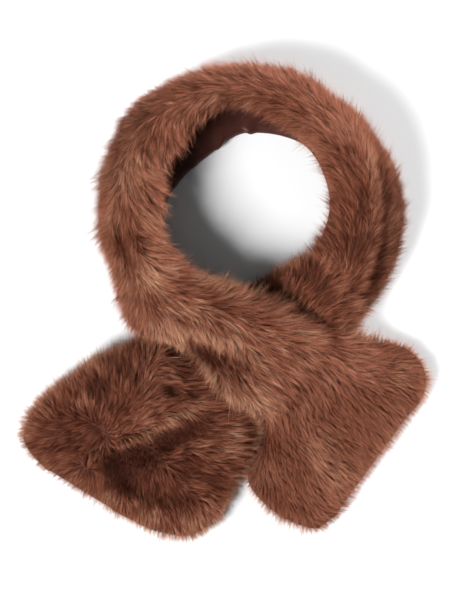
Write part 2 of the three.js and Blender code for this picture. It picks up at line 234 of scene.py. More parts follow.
UNDER_STROKES = (
    Stroke(-73, -36, 16, 100, 1.0, 0.04),
    Stroke(-115, -51, 15, 112, 1.0, 0.16),
    Stroke(-137, -62, 14, 125, 1.0, 0.15),
    Stroke(-160, -84, 13, 152, 1.0, 0.20),
    Stroke(-167, -108, 13, 190, 1.0, 0.24),
    Stroke(-83, -63, 14, 95, 1.0, -0.04),
    Stroke(-106, -79, 9, 110, 0.8, -0.22),
    Stroke(-50, -56, 12, -38, 1.0, 0.15),
    Stroke(-35, -75, 11, -18, 1.0, 0.03),
    Stroke(-22, -83, 10, 6, 1.0, 0.05),
    Stroke(-52, -92, 11, 18, 1.2, 0.06),
    Stroke(-83, -107, 11, 30, 1.2, 0.07),
    Stroke(-108, -120, 10, 236, 0.9, 0.0),
    Stroke(-125, -112, 14, 205, 1.0, -0.04),
    Stroke(-138, -122, 13, 226, 1.0, -0.08),
    Stroke(-92, -141, 12, 262, 1.0, -0.48, 0.3),
    Stroke(-72, -126, 11, 270, 1.0, -0.32, 0.2),
    Stroke(-48, -112, 10, 280, 1.0, -0.22, 0.3),
    Stroke(-28, -102, 10, 285, 1.0, -0.20, 0.3),
    Stroke(4, -105, 12, 0, 1.2, 0.04),
    Stroke(8, -129, 13, -10, 1.2, 0.04),
    Stroke(-9, -144, 12, -32, 1.2, -0.10),
    Stroke(-26, -133, 9, -50, 1.0, 0.04),
    Stroke(-77, -146, 13, 252, 1.0, -0.22, 0.3),
    Stroke(-54, -148, 14, 265, 1.0, -0.26, 0.2),
    Stroke(-32, -180, 15, 272, 1.2, 0.26),
    Stroke(-14, -175, 12, 300, 1.2, 0.14),
    Stroke(-66, -177, 13, 250, 1.2, 0.24),
    Stroke(-98, -166, 13, 244, 1.2, 0.26),
    Stroke(-124, -156, 13, 234, 1.2, 0.24),
    Stroke(-148, -143, 12, 228, 1.2, 0.22),
)

# The strokes below -0.1 paint shade into the recess under the band; those of 0.14 and more paint light along
# the band's lit lower rim.
OVER_STROKES = (
    Stroke(-46, -27, 9, -70, 0.8, 0.14),
    Stroke(-22, -29, 9, -60, 0.8, 0.16),
    Stroke(0, -38, 9, -50, 0.8, 0.18),
    Stroke(20, -48, 9, -40, 0.6, 0.10),
    Stroke(-26, -40, 8, -62, 0.5, -0.31, 0.3),
    Stroke(-14, -50, 9, -52, 0.5, -0.29, 0.3),
    Stroke(0, -58, 9, -48, 0.5, -0.14, 0.2),
    Stroke(-10, -76, 9, -30, 0.8, 0.18),
    Stroke(8, -90, 10, -20, 0.9, 0.22),
    Stroke(30, -86, 10, -10, 0.6, 0.16),
    Stroke(40, -112, 14, -50, 0.4, -0.06),
    Stroke(66, -118, 12, -50, 0.4, 0.07),
    Stroke(92, -104, 12, -45, 0.4, -0.06),
    Stroke(118, -84, 14, -40, 0.4, 0.05),
    Stroke(92, -146, 14, -50, 0.5, 0.07),
    Stroke(60, -160, 16, -60, 0.5, 0.02),
)


class Streak(NamedTuple):
    """A line along which the pile is painted darker or lighter, seen from above, mm and shares: painted
    shade along creases and painted highlights along ridges.
    """

    from_x: float
    from_y: float
    bend_x: float
    bend_y: float
    to_x: float
    to_y: float
    reach: float
    shade: float
    trim: float = 0.0


# Negative streaks are painted shade along creases, folds and recesses; positive ones are painted highlights
# along ridges and lit patches.
SHADE_AND_HIGHLIGHT_STREAKS = (
    Streak(-109, -134, -61, -123, -8, -96, 8, -0.42, 0.3),
    Streak(-110, -132, -61, -120, -8, -92, 3.5, -0.36, 0.3),
    Streak(-116, -127, -60, -113, 2, -77, 5, 0.32),
    Streak(-118, -74, -108, -82, -92, -78, 4, -0.30, 0.2),
    Streak(-50, -66, -50, -76, -43, -84, 4, -0.28, 0.2),
    Streak(-132, -98, -130, -112, -112, -122, 5, -0.18),
    Streak(-106, -42, -107, -58, -104, -70, 5, 0.16),
    Streak(60, 26, 70, 8, 86, -10, 8, -0.20),
    Streak(82, 42, 96, 30, 114, 36, 5, 0.14),
    Streak(-60, 14, -20, -2, 40, -24, 5, -0.15),
    Streak(-44, 26, 0, 12, 62, -14, 5, 0.12),
    Streak(-44, -34, -12, -36, 22, -56, 6, -0.24, 0.3),
    Streak(-50, -27, -10, -29, 26, -50, 4, 0.14),
    Streak(-29, -36, -24, -50, -14, -62, 4, -0.20, 0.2),
    Streak(108, 160, 138, 100, 127, 46, 4, 0.58, 0.15),
    Streak(127, 56, 122, 24, 106, -24, 4, 0.56, 0.15),
    Streak(115, 156, 142, 102, 129, 42, 4, -0.55, 0.6),
    Streak(130, 58, 125, 24, 109, -24, 4, -0.55, 0.6),
    Streak(143, 106, 150, 84, 144, 62, 2.5, -0.34, 0.3),
    Streak(126, 142, 160, 92, 134, 6, 7, 0.26, 0.4),
    Streak(120, 86, 117, 68, 110, 50, 4, -0.12, 0.1),
    Streak(-62, 62, -66, 30, -58, 0, 12, 0.15),
    Streak(66, -98, 84, -130, 90, -164, 10, 0.10),
    Streak(152, -48, 146, -66, 126, -84, 9, 0.10),
    Streak(-90, 76, -93, 52, -76, 24, 4, -0.12, 0.1),
    Streak(-82, -2, -74, -14, -70, -26, 4, -0.22, 0.2),
    Streak(46, -90, 61, -82, 72, -72, 5, -0.13, 0.1),
    Streak(27, -104, 50, -140, 60, -178, 7, -0.05),
)


def unit(vectors: np.ndarray) -> np.ndarray:
    """The vectors at length one."""
    return vectors / np.maximum(np.linalg.norm(vectors, axis=-1, keepdims=True), 1e-9)


def smoothstep(x: np.ndarray | float, low: float, high: float) -> np.ndarray:
    """A smooth rise from 0 at low to 1 at high."""
    t = np.clip((np.asarray(x, float) - low) / (high - low), 0, 1)
    return t * t * (3 - 2 * t)


def fade(x: np.ndarray) -> np.ndarray:
    """A fold's share of depth, from 1 in its middle to 0 at its reach."""
    return np.where(np.abs(x) < 1, (1 - np.minimum(x * x, 1)) ** 2, 0.0)


def rows_at(rows: Sequence[NamedTuple], places: np.ndarray) -> np.ndarray:
    """Rows between a table's rows, by a smooth curve through each column.

    Args:
        rows: the table.
        places: where, counted in rows.

    Returns:
        One row of column values for each place.
    """
    table = np.array(rows, float)
    last = len(table) - 1
    k = np.clip(np.floor(places).astype(int), 0, last - 1)
    f = (places - k)[:, None]
    a, b, c, d = (table[np.clip(k + i, 0, last)] for i in (-1, 0, 1, 2))
    return b + 0.5 * f * (c - a + f * (2 * a - 5 * b + 4 * c - d + f * (3 * (b - c) + d - a)))


def rows_by_angle(rows: Sequence["NeckRow | NeckComb"], angles: np.ndarray) -> np.ndarray:
    """Rows between the rows of a table that goes round the neck, at some angles."""
    known = np.array([r.angle for r in rows])
    return rows_at(rows, np.interp(angles, known, np.arange(len(known))))


def smooth_lines(knots: np.ndarray, count: int) -> np.ndarray:
    """Smooth lines through the knots of several sections, with evenly spaced points.

    Args:
        knots: (sections, knots, 2) across and height, mm.
        count: points wanted on each line.

    Returns:
        (sections, count, 2) points.
    """
    ends = (2 * knots[:, :1] - knots[:, 1:2], 2 * knots[:, -1:] - knots[:, -2:-1])
    p = np.concatenate([ends[0], knots, ends[1]], axis=1)
    at = np.linspace(0, knots.shape[1] - 1, 24 * knots.shape[1])
    k = np.minimum(at.astype(int), knots.shape[1] - 2)
    f = (at - k)[None, :, None]
    p0, p1, p2, p3 = (p[:, k + i] for i in range(4))
    pairs = ((p0, p1), (p1, p2), (p2, p3))
    gap = [np.maximum(np.sum((b - a) ** 2, -1, keepdims=True) ** 0.25, 1e-3) for a, b in pairs]
    m1 = ((p1 - p0) / gap[0] - (p2 - p0) / (gap[0] + gap[1]) + (p2 - p1) / gap[1]) * gap[1]
    m2 = ((p2 - p1) / gap[1] - (p3 - p1) / (gap[1] + gap[2]) + (p3 - p2) / gap[2]) * gap[1]
    line = p1 + f * (m1 + f * (3 * (p2 - p1) - 2 * m1 - m2 + f * (2 * (p1 - p2) + m1 + m2)))
    line[..., 1] = np.maximum(line[..., 1], 0)
    out = np.empty((len(line), count, 2))
    for i, one in enumerate(line):
        along = np.concatenate([[0], np.cumsum(np.linalg.norm(np.diff(one, axis=0), axis=1))])
        want = np.linspace(0, along[-1], count)
        out[i] = np.stack([np.interp(want, along, one[:, c]) for c in (0, 1)], axis=1)
    return out


def drift(points: np.ndarray, size: float, seed: int) -> np.ndarray:
    """A smooth random value from -1 to 1 at each point, changing over a distance of about size."""
    cell = points / size + 17.3 * seed
    base = np.floor(cell).astype(int)
    f = cell - base
    f = f * f * (3 - 2 * f)
    total = np.zeros(points.shape[:-1])
    for corner in np.ndindex(*(2,) * points.shape[-1]):
        at = base + np.array(corner)
        mixed = np.sum(at * np.array([127.1, 311.7, 74.7])[: points.shape[-1]], axis=-1) + 19.19 * seed
        value = np.modf(np.abs(np.sin(mixed) * 43758.5453))[0] * 2 - 1
        total += value * np.prod(np.where(np.array(corner) == 1, f, 1 - f), axis=-1)
    return total


class Wave(NamedTuple):
    """Smooth random unevenness: how much, over what distance in mm, and the seed that places it."""

    amount: float
    size: float
    seed: int


def with_waves(values: np.ndarray | float, points: np.ndarray, *waves: Wave) -> np.ndarray:
    """The values at some points, with waves added to them."""
    for wave in waves:
        values = values + wave.amount * drift(points, wave.size, wave.seed)
    return values


@dataclass(frozen=True)
class Groom:
    """How uneven a stretch's cloth and pile are, and how its rims are painted lighter and lifted; mm,
    degrees and shares.
    """

    bumps: tuple[Wave, ...]
    bumps_from: float  # the height at which bumps set in
    bumps_full: float
    leans: tuple[Wave, ...]
    lengths: Wave
    resting: float  # the height below which the pile is pressed short
    patches: Wave  # of lighter and darker pile
    streaks: Wave
    fringe: float  # how far the longest hairs stand out
    # the shade the rims are painted towards, as painted light where the hairs are lit through at the edge
    rim_painted_light: float
    rim_lift: float

    def bumped(self, face: np.ndarray, normals: np.ndarray) -> np.ndarray:
        """The face with its bumps, none where it rests on the surface."""
        high = smoothstep(face[..., 2], self.bumps_from, self.bumps_full)
        return face + normals * (with_waves(0.0, face, *self.bumps) * high)[..., None]

    def lengths_at(self, face: np.ndarray, length: float | np.ndarray) -> np.ndarray:
        """The pile's length at each point of the face, from its mean length."""
        uneven = length * with_waves(1.0, face, self.lengths)
        return np.where(face[..., 2] < self.resting, RESTING_PILE, uneven)

    def shades_at(self, face: np.ndarray, shade: float | np.ndarray, contrast: np.ndarray) -> np.ndarray:
        """The pile's shade at each point of the face, from its mean shade."""
        streak = drift(face, self.streaks.size, self.streaks.seed)
        return with_waves(shade, face, self.patches) + self.streaks.amount * contrast * streak


NECK_GROOM = Groom(
    bumps=(Wave(1.2, 42, 5), Wave(1.5, 22, 3), Wave(0.9, 10, 4)),
    bumps_from=3.0,
    bumps_full=15.0,
    leans=(Wave(13, 30, 6), Wave(15, 13, 8)),
    lengths=Wave(0.14, 18, 9),
    resting=3.0,
    patches=Wave(0.12, 26, 10),
    streaks=Wave(0.13, 9, 11),
    fringe=7.0,
    rim_painted_light=0.54,
    rim_lift=0.7,
)

END_GROOM = Groom(
    bumps=(Wave(1.0, 45, 35), Wave(1.3, 24, 33), Wave(0.8, 11, 34)),
    bumps_from=4.0,
    bumps_full=14.0,
    leans=(Wave(13, 28, 36), Wave(15, 13, 37)),
    lengths=Wave(0.14, 18, 39),
    resting=2.5,
    patches=Wave(0.12, 28, 40),
    streaks=Wave(0.13, 8, 41),
    fringe=9.5,
    rim_painted_light=0.84,
    rim_lift=1.2,
)

PUCKERS = Wave(0.35, 15, 51)  # of the lining under an end
LOCK_TURNS = (Wave(16, 7, 61), Wave(9, 4.5, 62))  # how neighbouring locks differ, degrees
LOCK_LIFTS = Wave(0.12, 8, 63)
FRINGES = Wave(0.8, 7, 64)
FRINGE_LIMITS = (0.3, 1.8)
RIM_LENGTHS = Wave(0.26, 9, 65)
RIM_GROWTH = 0.16  # how much longer the pile is along the rims
RIM_SLOPES = (0.15, 0.75)  # between which the cloth turns into its rim
# RIM_SHARE is how far the rims' pile is painted towards the groom's rim_painted_light.
RIM_SHARE = 0.9  # of the rim's own shade
UNCOMBED = 0.25  # how much of its first way the pile keeps under a stroke
FACING_DOWN = -0.2  # the slope past which a streak doesn't show


def along_line(flat: np.ndarray, line: Sequence[float]) -> tuple[np.ndarray, np.ndarray, np.ndarray]:
    """Where points lie on a bent line.

    Args:
        flat: (..., 2) points seen from above, mm.
        line: a row that starts with the line's from, bend and to.

    Returns:
        How far off the line each point is, how far along it as a share, and the nearest point of the line.
    """
    t = np.linspace(0, 1, 17)[:, None]
    a, b, c = (np.array(line[i : i + 2], float) for i in (0, 2, 4))
    curve = (1 - t) ** 2 * a + 2 * t * (1 - t) * b + t * t * c
    away = np.full(flat.shape[:-1], np.inf)
    along = np.zeros_like(away)
    near = np.zeros_like(flat)
    for i in range(16):
        step = curve[i + 1] - curve[i]
        s = np.clip(((flat - curve[i]) @ step) / (step @ step), 0, 1)
        q = curve[i] + s[..., None] * step
        here = np.linalg.norm(flat - q, axis=-1)
        closer = here < away
        away = np.where(closer, here, away)
        along = np.where(closer, (i + s) / 16, along)
        near = np.where(closer[..., None], q, near)
    return away, along, near


def folded(points: np.ndarray, share: np.ndarray) -> np.ndarray:
    """The fur's face, moved by the folds near it.

    Args:
        points: (..., 3) in mm.
        share: how much of each fold reaches each point, 0 to 1.

    Returns:
        The moved points.
    """
    out = points.copy()
    flat = points[..., :2]
    for fold in FOLD_ROWS:
        away, along, near = along_line(flat, fold)
        strength = np.sqrt(fade(2 * along - 1)) * share
        if fold.lap:
            angle = math.radians(fold.lap_from)
            way = np.array([math.cos(angle), math.sin(angle)])
            t = np.where((flat - near) @ way < 0, -away, away) / fold.reach
            down = np.where(t > -0.25, 1 - smoothstep(t, -0.25, 0.5), fade((t + 0.25) / 1.6))
            slide = 0.4 * fade((t + 0.5) / 0.5) - fade((t - 0.3) / 0.7)
            out[..., :2] += way * (fold.lap * strength * slide)[..., None]
        else:
            down = fade(away / fold.reach)
        out[..., 2] -= np.minimum(fold.drop * strength * down, 0.6 * points[..., 2])
    return out


def combed(cloth: "Cloth", strokes: Sequence[Stroke], groom: Groom) -> None:
    """Combs and trims the pile at the strokes and streaks and paints shade and highlights into it there, and
    paints light onto it and lifts it at the rims.
    """
    flat, up = cloth.face[..., :2], cloth.normals[..., 2]
    pulled = np.zeros_like(cloth.flow)
    for s in strokes:
        share = np.exp(-np.sum((flat - (s.x, s.y)) ** 2, axis=-1) / s.reach**2)
        way = np.array([math.cos(math.radians(s.way)), math.sin(math.radians(s.way)), 0.0])
        pulled += (share * s.pull)[..., None] * way
        cloth.tone += share * s.shade
        cloth.length *= 1 - share * s.trim
    for s in SHADE_AND_HIGHLIGHT_STREAKS:
        away, along, _ = along_line(flat, s)
        share = np.exp(-((away / s.reach) ** 2)) * np.sqrt(fade(2 * along - 1)) * (up > FACING_DOWN)
        cloth.tone += share * s.shade
        cloth.length *= 1 - share * s.trim
    pulled -= cloth.normals * np.sum(pulled * cloth.normals, axis=-1, keepdims=True)
    flow = unit(UNCOMBED * cloth.flow + pulled) if strokes else cloth.flow
    flow = turned(flow, cloth.normals, with_waves(0.0, cloth.face, *LOCK_TURNS))
    edge = smoothstep(1 - np.abs(up), *RIM_SLOPES)
    lift = with_waves(cloth.lift, cloth.face, LOCK_LIFTS) + groom.rim_lift * edge
    cloth.length *= 1 + edge * with_waves(RIM_GROWTH, cloth.face, RIM_LENGTHS)
    cloth.fringe *= np.clip(with_waves(1.0, cloth.face, FRINGES), *FRINGE_LIMITS)
    cloth.flow = unit(flow + lift[..., None] * cloth.normals)
    # painted light along the rims, where the hairs are lit through
    cloth.tone += RIM_SHARE * edge * (groom.rim_painted_light - cloth.tone)


def turned(flow: np.ndarray, normals: np.ndarray, degrees: np.ndarray) -> np.ndarray:
    """Directions turned about their normals."""
    a = np.radians(degrees)[..., None]
    return flow * np.cos(a) + np.cross(normals, flow) * np.sin(a)


def normals_of(grid: np.ndarray) -> np.ndarray:
    """Unit normals of a grid of points, on the side that faces up where it is highest."""
    n = unit(np.cross(np.gradient(grid, axis=0), np.gradient(grid, axis=1)))
    top = grid[..., 2] > 0.8 * grid[..., 2].max()
    return n if n[top][:, 2].mean() > 0 else -n


def mesh_of(name: str, points: np.ndarray, faces: Sequence[Sequence[int]]) -> bpy.types.Mesh:
    """A mesh from points in mm and faces."""
    mesh = bpy.data.meshes.new(name)
    mesh.from_pydata((points * MM).tolist(), [], [list(map(int, f)) for f in faces])
    mesh.update()
    return mesh


def grid_faces(rows: int, columns: int, closed: bool = False) -> list[tuple[int, int, int, int]]:
    """The faces of a grid of points, as quads; closed joins the last column to the first."""
    faces = []
    for i in range(rows - 1):
        here, beyond = i * columns, (i + 1) * columns
        for j in range(columns if closed else columns - 1):
            k = (j + 1) % columns
            faces.append((here + j, here + k, beyond + k, beyond + j))
    return faces


def signed_volume(points: np.ndarray, faces: Sequence[Sequence[int]]) -> float:
    """The volume inside a closed mesh, negative if its faces look inwards."""
    total = 0.0
    for f in faces:
        a = points[f[0]]
        for i in range(1, len(f) - 1):
            total += float(a @ np.cross(points[f[i]], points[f[i + 1]]))
    return total / 6


def closed_mesh(name: str, points: np.ndarray, faces: Sequence[Sequence[int]]) -> bpy.types.Mesh:
    """A mesh from the points in mm and the faces of a closed shell, turned to look outwards."""
    if signed_volume(points, faces) < 0:
        faces = [tuple(reversed(f)) for f in faces]
    return mesh_of(name, points, faces)


def loft(name: str, rings: np.ndarray) -> bpy.types.Mesh:
    """The closed shell through rings of the same number of points, its faces looking out."""
    rows, columns = rings.shape[:2]
    points = rings.reshape(-1, 3)
    faces: list[Sequence[int]] = list(grid_faces(rows, columns, closed=True))
    half = columns // 2
    for start, turned in ((0, False), ((rows - 1) * columns, True)):
        for j in range(half - 1 + columns % 2):
            a, b, c, d = start + j, start + j + 1, start + columns - 2 - j, start + columns - 1 - j
            quad = (a, b, c, d) if b != c else (a, b, d)
            faces.append(quad if turned else quad[::-1])
    return closed_mesh(name, points, faces)


def cut_of(grid: np.ndarray) -> tuple[float, float]:
    """The width and length that a piece is cut to, measured over its grid in mm, given in metres."""
    spans = [np.linalg.norm(np.diff(grid, axis=a), axis=-1).sum(axis=a).mean() for a in (1, 0)]
    return spans[0] * MM, spans[1] * MM


def placed(name: str, data: bpy.types.ID) -> bpy.types.Object:
    """An object for a mesh, a light or a camera, in the scene."""
    obj = bpy.data.objects.new(name.replace(" ", "_"), data)
    bpy.context.scene.collection.objects.link(obj)
    return obj


def set_back(obj: bpy.types.Object, aim: Vector, toward: Vector, distance: float) -> None:
    """Moves an object away from what it looks at, and turns it to look back."""
    obj.location = aim + toward * distance
    obj.rotation_euler = (-toward).to_track_quat("-Z", "Y").to_euler()


class Expr:
    """A socket's value, on which Python's operators add Math nodes."""

    def __init__(self, graph: "Graph", socket: bpy.types.NodeSocket) -> None:
        """Keeps the graph and the socket."""
        self.graph = graph
        self.socket = socket

    def _math(self, operation: str, *values: Any) -> "Expr":
        """One Math node with these values, in order."""
        settings = {"operation": operation}
        return self.graph.node("ShaderNodeMath", settings, dict(enumerate(values)))["Value"]

    def __add__(self, other: Any) -> "Expr":
        """Sum."""
        return self._math("ADD", self, other)

    __radd__ = __add__

    def __sub__(self, other: Any) -> "Expr":
        """Difference."""
        return self._math("SUBTRACT", self, other)

    def __rsub__(self, other: Any) -> "Expr":
        """Difference from a number."""
        return self._math("SUBTRACT", other, self)

    def __mul__(self, other: Any) -> "Expr":
        """Product."""
        return self._math("MULTIPLY", self, other)

    __rmul__ = __mul__

    def at_least(self, other: Any) -> "Expr":
        """The larger of the two."""
        return self._math("MAXIMUM", self, other)

    def at_most(self, other: Any) -> "Expr":
        """The smaller of the two."""
        return self._math("MINIMUM", self, other)

    def rise(self, low: float, high: float) -> "Expr":
        """A smooth rise from 0 at low to 1 at high."""
        settings = {"interpolation_type": "SMOOTHSTEP"}
        inputs = {"Value": self, "From Min": low, "From Max": high}
        return self.graph.node("ShaderNodeMapRange", settings, inputs)["Result"]


class Made:
    """A node whose outputs are read by name."""

    def __init__(self, graph: "Graph", node: bpy.types.Node) -> None:
        """Keeps the graph and the node."""
        self.graph = graph
        self.node = node

    def __getitem__(self, name: str | int) -> Expr:
        """The output of that name, or at that index."""
        return Expr(self.graph, Graph.pick(self.node.outputs, name))


class Graph:
    """A node tree, with one method that makes any node."""

    def __init__(self, tree: bpy.types.NodeTree) -> None:
        """Keeps the tree."""
        self.tree = tree

    @staticmethod
    def pick(sockets: Any, name: str | int) -> bpy.types.NodeSocket:
        """The socket at an index, or the first one in use of that name."""
        if isinstance(name, int):
            return sockets[name]
        return next(s for s in sockets if s.name == name and s.enabled)

    def fill(self, node: bpy.types.Node, inputs: Mapping[Any, Any]) -> None:
        """Gives a node's sockets, by name or index, their values or links."""
        for name, value in inputs.items():
            socket = self.pick(node.inputs, name)
            if isinstance(value, Expr):
                self.tree.links.new(value.socket, socket)
            else:
                socket.default_value = value

    def node(
        self, kind: str, settings: Mapping[str, Any] | None = None, inputs: Mapping[Any, Any] | None = None
    ) -> Made:
        """Makes a node.

        Args:
            kind: the node's type.
            settings: its properties, set first; "stops" fills a colour ramp.
            inputs: values or links of its sockets, by name or index.

        Returns:
            The node.
        """
        made = self.tree.nodes.new(kind)
        for name, value in (settings or {}).items():
            if name == "stops":
                ramp = made.color_ramp
                while len(ramp.elements) < len(value):
                    ramp.elements.new(0.5)
                for element, (place, colour) in zip(ramp.elements, value):
                    element.position = place
                    element.color = (*colour, 1.0)
            else:
                setattr(made, name, value)
        self.fill(made, inputs or {})
        return Made(self, made)

    def ramp(self, stops: Sequence[tuple[float, Colour]], value: Expr) -> Expr:
        """The colour at a value's place between the stops."""
        return self.node("ShaderNodeValToRGB", {"stops": stops}, {"Fac": value})["Color"]

    def noise(self, scale: float, detail: float) -> Expr:
        """Noise over the object's own coordinates."""
        inputs = {"Vector": self.node("ShaderNodeTexCoord")["Object"], "Scale": scale, "Detail": detail}
        return self.node("ShaderNodeTexNoise", {}, inputs)["Fac"]

    def bump(self, strength: float, distance: float, height: Expr) -> Expr:
        """The normal of a bumpy surface."""
        inputs = {"Strength": strength, "Distance": distance, "Height": height}
        return self.node("ShaderNodeBump", {}, inputs)["Normal"]

    def mixed(self, share: Any, first: Expr, second: Any, blend: str = "MIX") -> Expr:
        """Two colours, blended by a share of the second."""
        settings = {"data_type": "RGBA", "blend_type": blend}
        return self.node("ShaderNodeMix", settings, {0: share, "A": first, "B": second})["Result"]

    def vector(self, **inputs: Any) -> Expr:
        """A vector from its X, Y and Z, each 0 if it isn't given."""
        return self.node("ShaderNodeCombineXYZ", {}, inputs)["Vector"]


def new_material(name: str) -> tuple[bpy.types.Material, Graph]:
    """A material and the graph of its nodes."""
    material = bpy.data.materials.new(name)
    material.use_nodes = True
    return material, Graph(material.node_tree)


def set_surface(material: bpy.types.Material, inputs: Mapping[str, Any]) -> None:
    """Gives a material's Principled node these values and links."""
    Graph(material.node_tree).fill(material.node_tree.nodes["Principled BSDF"], inputs)


@dataclass(frozen=True)
class FurFinish:
    """Long pile: each hair runs from a dark root to a lighter tip, and hairs differ in shade."""

    name: str = "long pile"
    root: float = 0.25  # how light the root is, as a share of the hair
    root_rise: tuple[float, float] = (-0.1, 0.75)  # where along a hair the root's dark goes
    tip: Colour = (0.62, 0.365, 0.20)
    tip_share: float = 0.25
    tip_rise: tuple[float, float] = (0.66, 1.0)
    # The stops from 0.78 up give the painted highlights their pink and the rims' painted light its tan.
    shades: tuple[tuple[float, Colour], ...] = (
        (0.0, (0.062, 0.012, 0.007)),
        (0.35, (0.215, 0.054, 0.028)),
        (0.6, (0.379, 0.129, 0.075)),
        (0.78, (0.527, 0.238, 0.152)),
        (0.9, (0.595, 0.314, 0.188)),
        (1.0, (0.665, 0.395, 0.235)),
    )

    def build(self) -> bpy.types.Material:
        """The material; the UV map holds a hair's shade and the way along it."""
        material, graph = new_material(self.name)
        mapped = graph.node("ShaderNodeUVMap", {"uv_map": "OFBake"})["UV"]
        split = graph.node("ShaderNodeSeparateXYZ", {}, {0: mapped})
        # The root's dark is partly the hair's own colour and partly painted shade deep in the pile.
        depth = split["Y"].rise(*self.root_rise) * (1 - self.root) + self.root
        dark = graph.node("ShaderNodeCombineColor", {}, {0: depth, 1: depth, 2: depth})["Color"]
        colour = graph.mixed(1.0, graph.ramp(self.shades, split["X"]), dark, "MULTIPLY")
        tipped = split["Y"].rise(*self.tip_rise) * self.tip_share
        surface = {
            "Base Color": graph.mixed(tipped, colour, (*self.tip, 1.0)),
            "Roughness": 0.52,
            "Specular IOR Level": 0.2,
            "Specular Tint": (1.0, 0.6, 0.42, 1.0),
            "Sheen Weight": 0.08,
            "Sheen Roughness": 0.4,
            "Sheen Tint": (1.0, 0.56, 0.3, 1.0),
        }
        set_surface(material, surface)
        return material


@dataclass(frozen=True)
class UndercoatFinish:
    """The short dense wool under the long pile, seen only in the partings; its very dark colours paint the
    shade deep in the partings.
    """

    name: str = "undercoat"
    dark: Colour = (0.030, 0.007, 0.004)
    light: Colour = (0.110, 0.028, 0.015)

    def build(self) -> bpy.types.Material:
        """The material."""
        material, graph = new_material(self.name)
        fine = graph.noise(900.0, 2.0)
        surface = {
            "Base Color": graph.ramp(((0.3, self.dark), (0.7, self.light)), fine),
            "Normal": graph.bump(0.6, 0.001, fine),
            "Roughness": 0.85,
            "Specular IOR Level": 0.2,
        }
        set_surface(material, surface)
        return material


@dataclass(frozen=True)
class SatinFinish:
    """The smooth dark lining, with a fine weave and soft gloss."""

    name: str = "satin lining"
    dark: Colour = (0.030, 0.0085, 0.0062)
    light: Colour = (0.052, 0.0160, 0.0115)

    def build(self) -> bpy.types.Material:
        """The material."""
        material, graph = new_material(self.name)
        soft, weave = graph.noise(35.0, 3.0), graph.noise(2600.0, 1.0)
        surface = {
            "Base Color": graph.ramp(((0.3, self.dark), (0.7, self.light)), soft),
            "Normal": graph.bump(0.35, 0.0012, soft * 0.8 + weave * 0.2),
            "Roughness": 0.37,
            "Specular IOR Level": 0.38,
            "Specular Tint": (1.0, 0.62, 0.52, 1.0),
            "Sheen Weight": 0.12,
            "Sheen Roughness": 0.35,
            "Sheen Tint": (1.0, 0.6, 0.5, 1.0),
        }
        set_surface(material, surface)
        return material


class PileFlow(Enum):
    """Which way the pile lies on a stretch."""

    WITH = 1  # towards the later sections
    AGAINST = -1  # towards the earlier ones


class LiningFold(NamedTuple):
    """A fold of the lining: its two ends by angle and height, how far it stands in, and its reach."""

    from_angle: float
    from_height: float
    to_angle: float
    to_height: float
    rise: float
    reach: float


LINING_FOLDS = (
    LiningFold(84, 3, 97, 24, 4.0, 5),
    LiningFold(95, 25, 118, 4, 4.6, 5),
    LiningFold(104, 36, 150, 24, 4.4, 5.5),
    LiningFold(124, 8, 140, 30, 3.0, 5),
    LiningFold(138, 4, 158, 22, 3.0, 5),
    LiningFold(66, 30, 88, 34, 2.4, 5),
    LiningFold(160, 4, 178, 30, 1.8, 6),
    LiningFold(10, 8, 34, 30, 1.8, 7),
    LiningFold(-24, 26, -4, 6, 1.8, 7),
    LiningFold(200, 8, 222, 28, 1.8, 7),
)

VIEW_RINGS = ((40, 6), (72, 8))  # tilts in degrees and how many ways of looking at each
FAR = 200.0  # past which nothing hides the pile, mm
LEAST_COVER = 0.01
RESTING_COVER = 0.12  # where the cloth lies on its pile
LEAST_FRINGE = 1.2  # how far any hair may stand out, mm
FRINGE_POWER = 1.3  # above 1, few hairs stand out far
TRIMS = (1.0, 0.88, 0.76, 0.64, 0.54, 0.45)  # shares of its length that a hair may be cut to
# Where a hair ends, along the flow and off the cloth, as shares of its length.
HAIR_ALONG, HAIR_UP = 0.94, 0.3
FULL_LENGTH = 15.0  # of pile at full cover, mm
COVER_LIMITS = (0.9, 2.1)


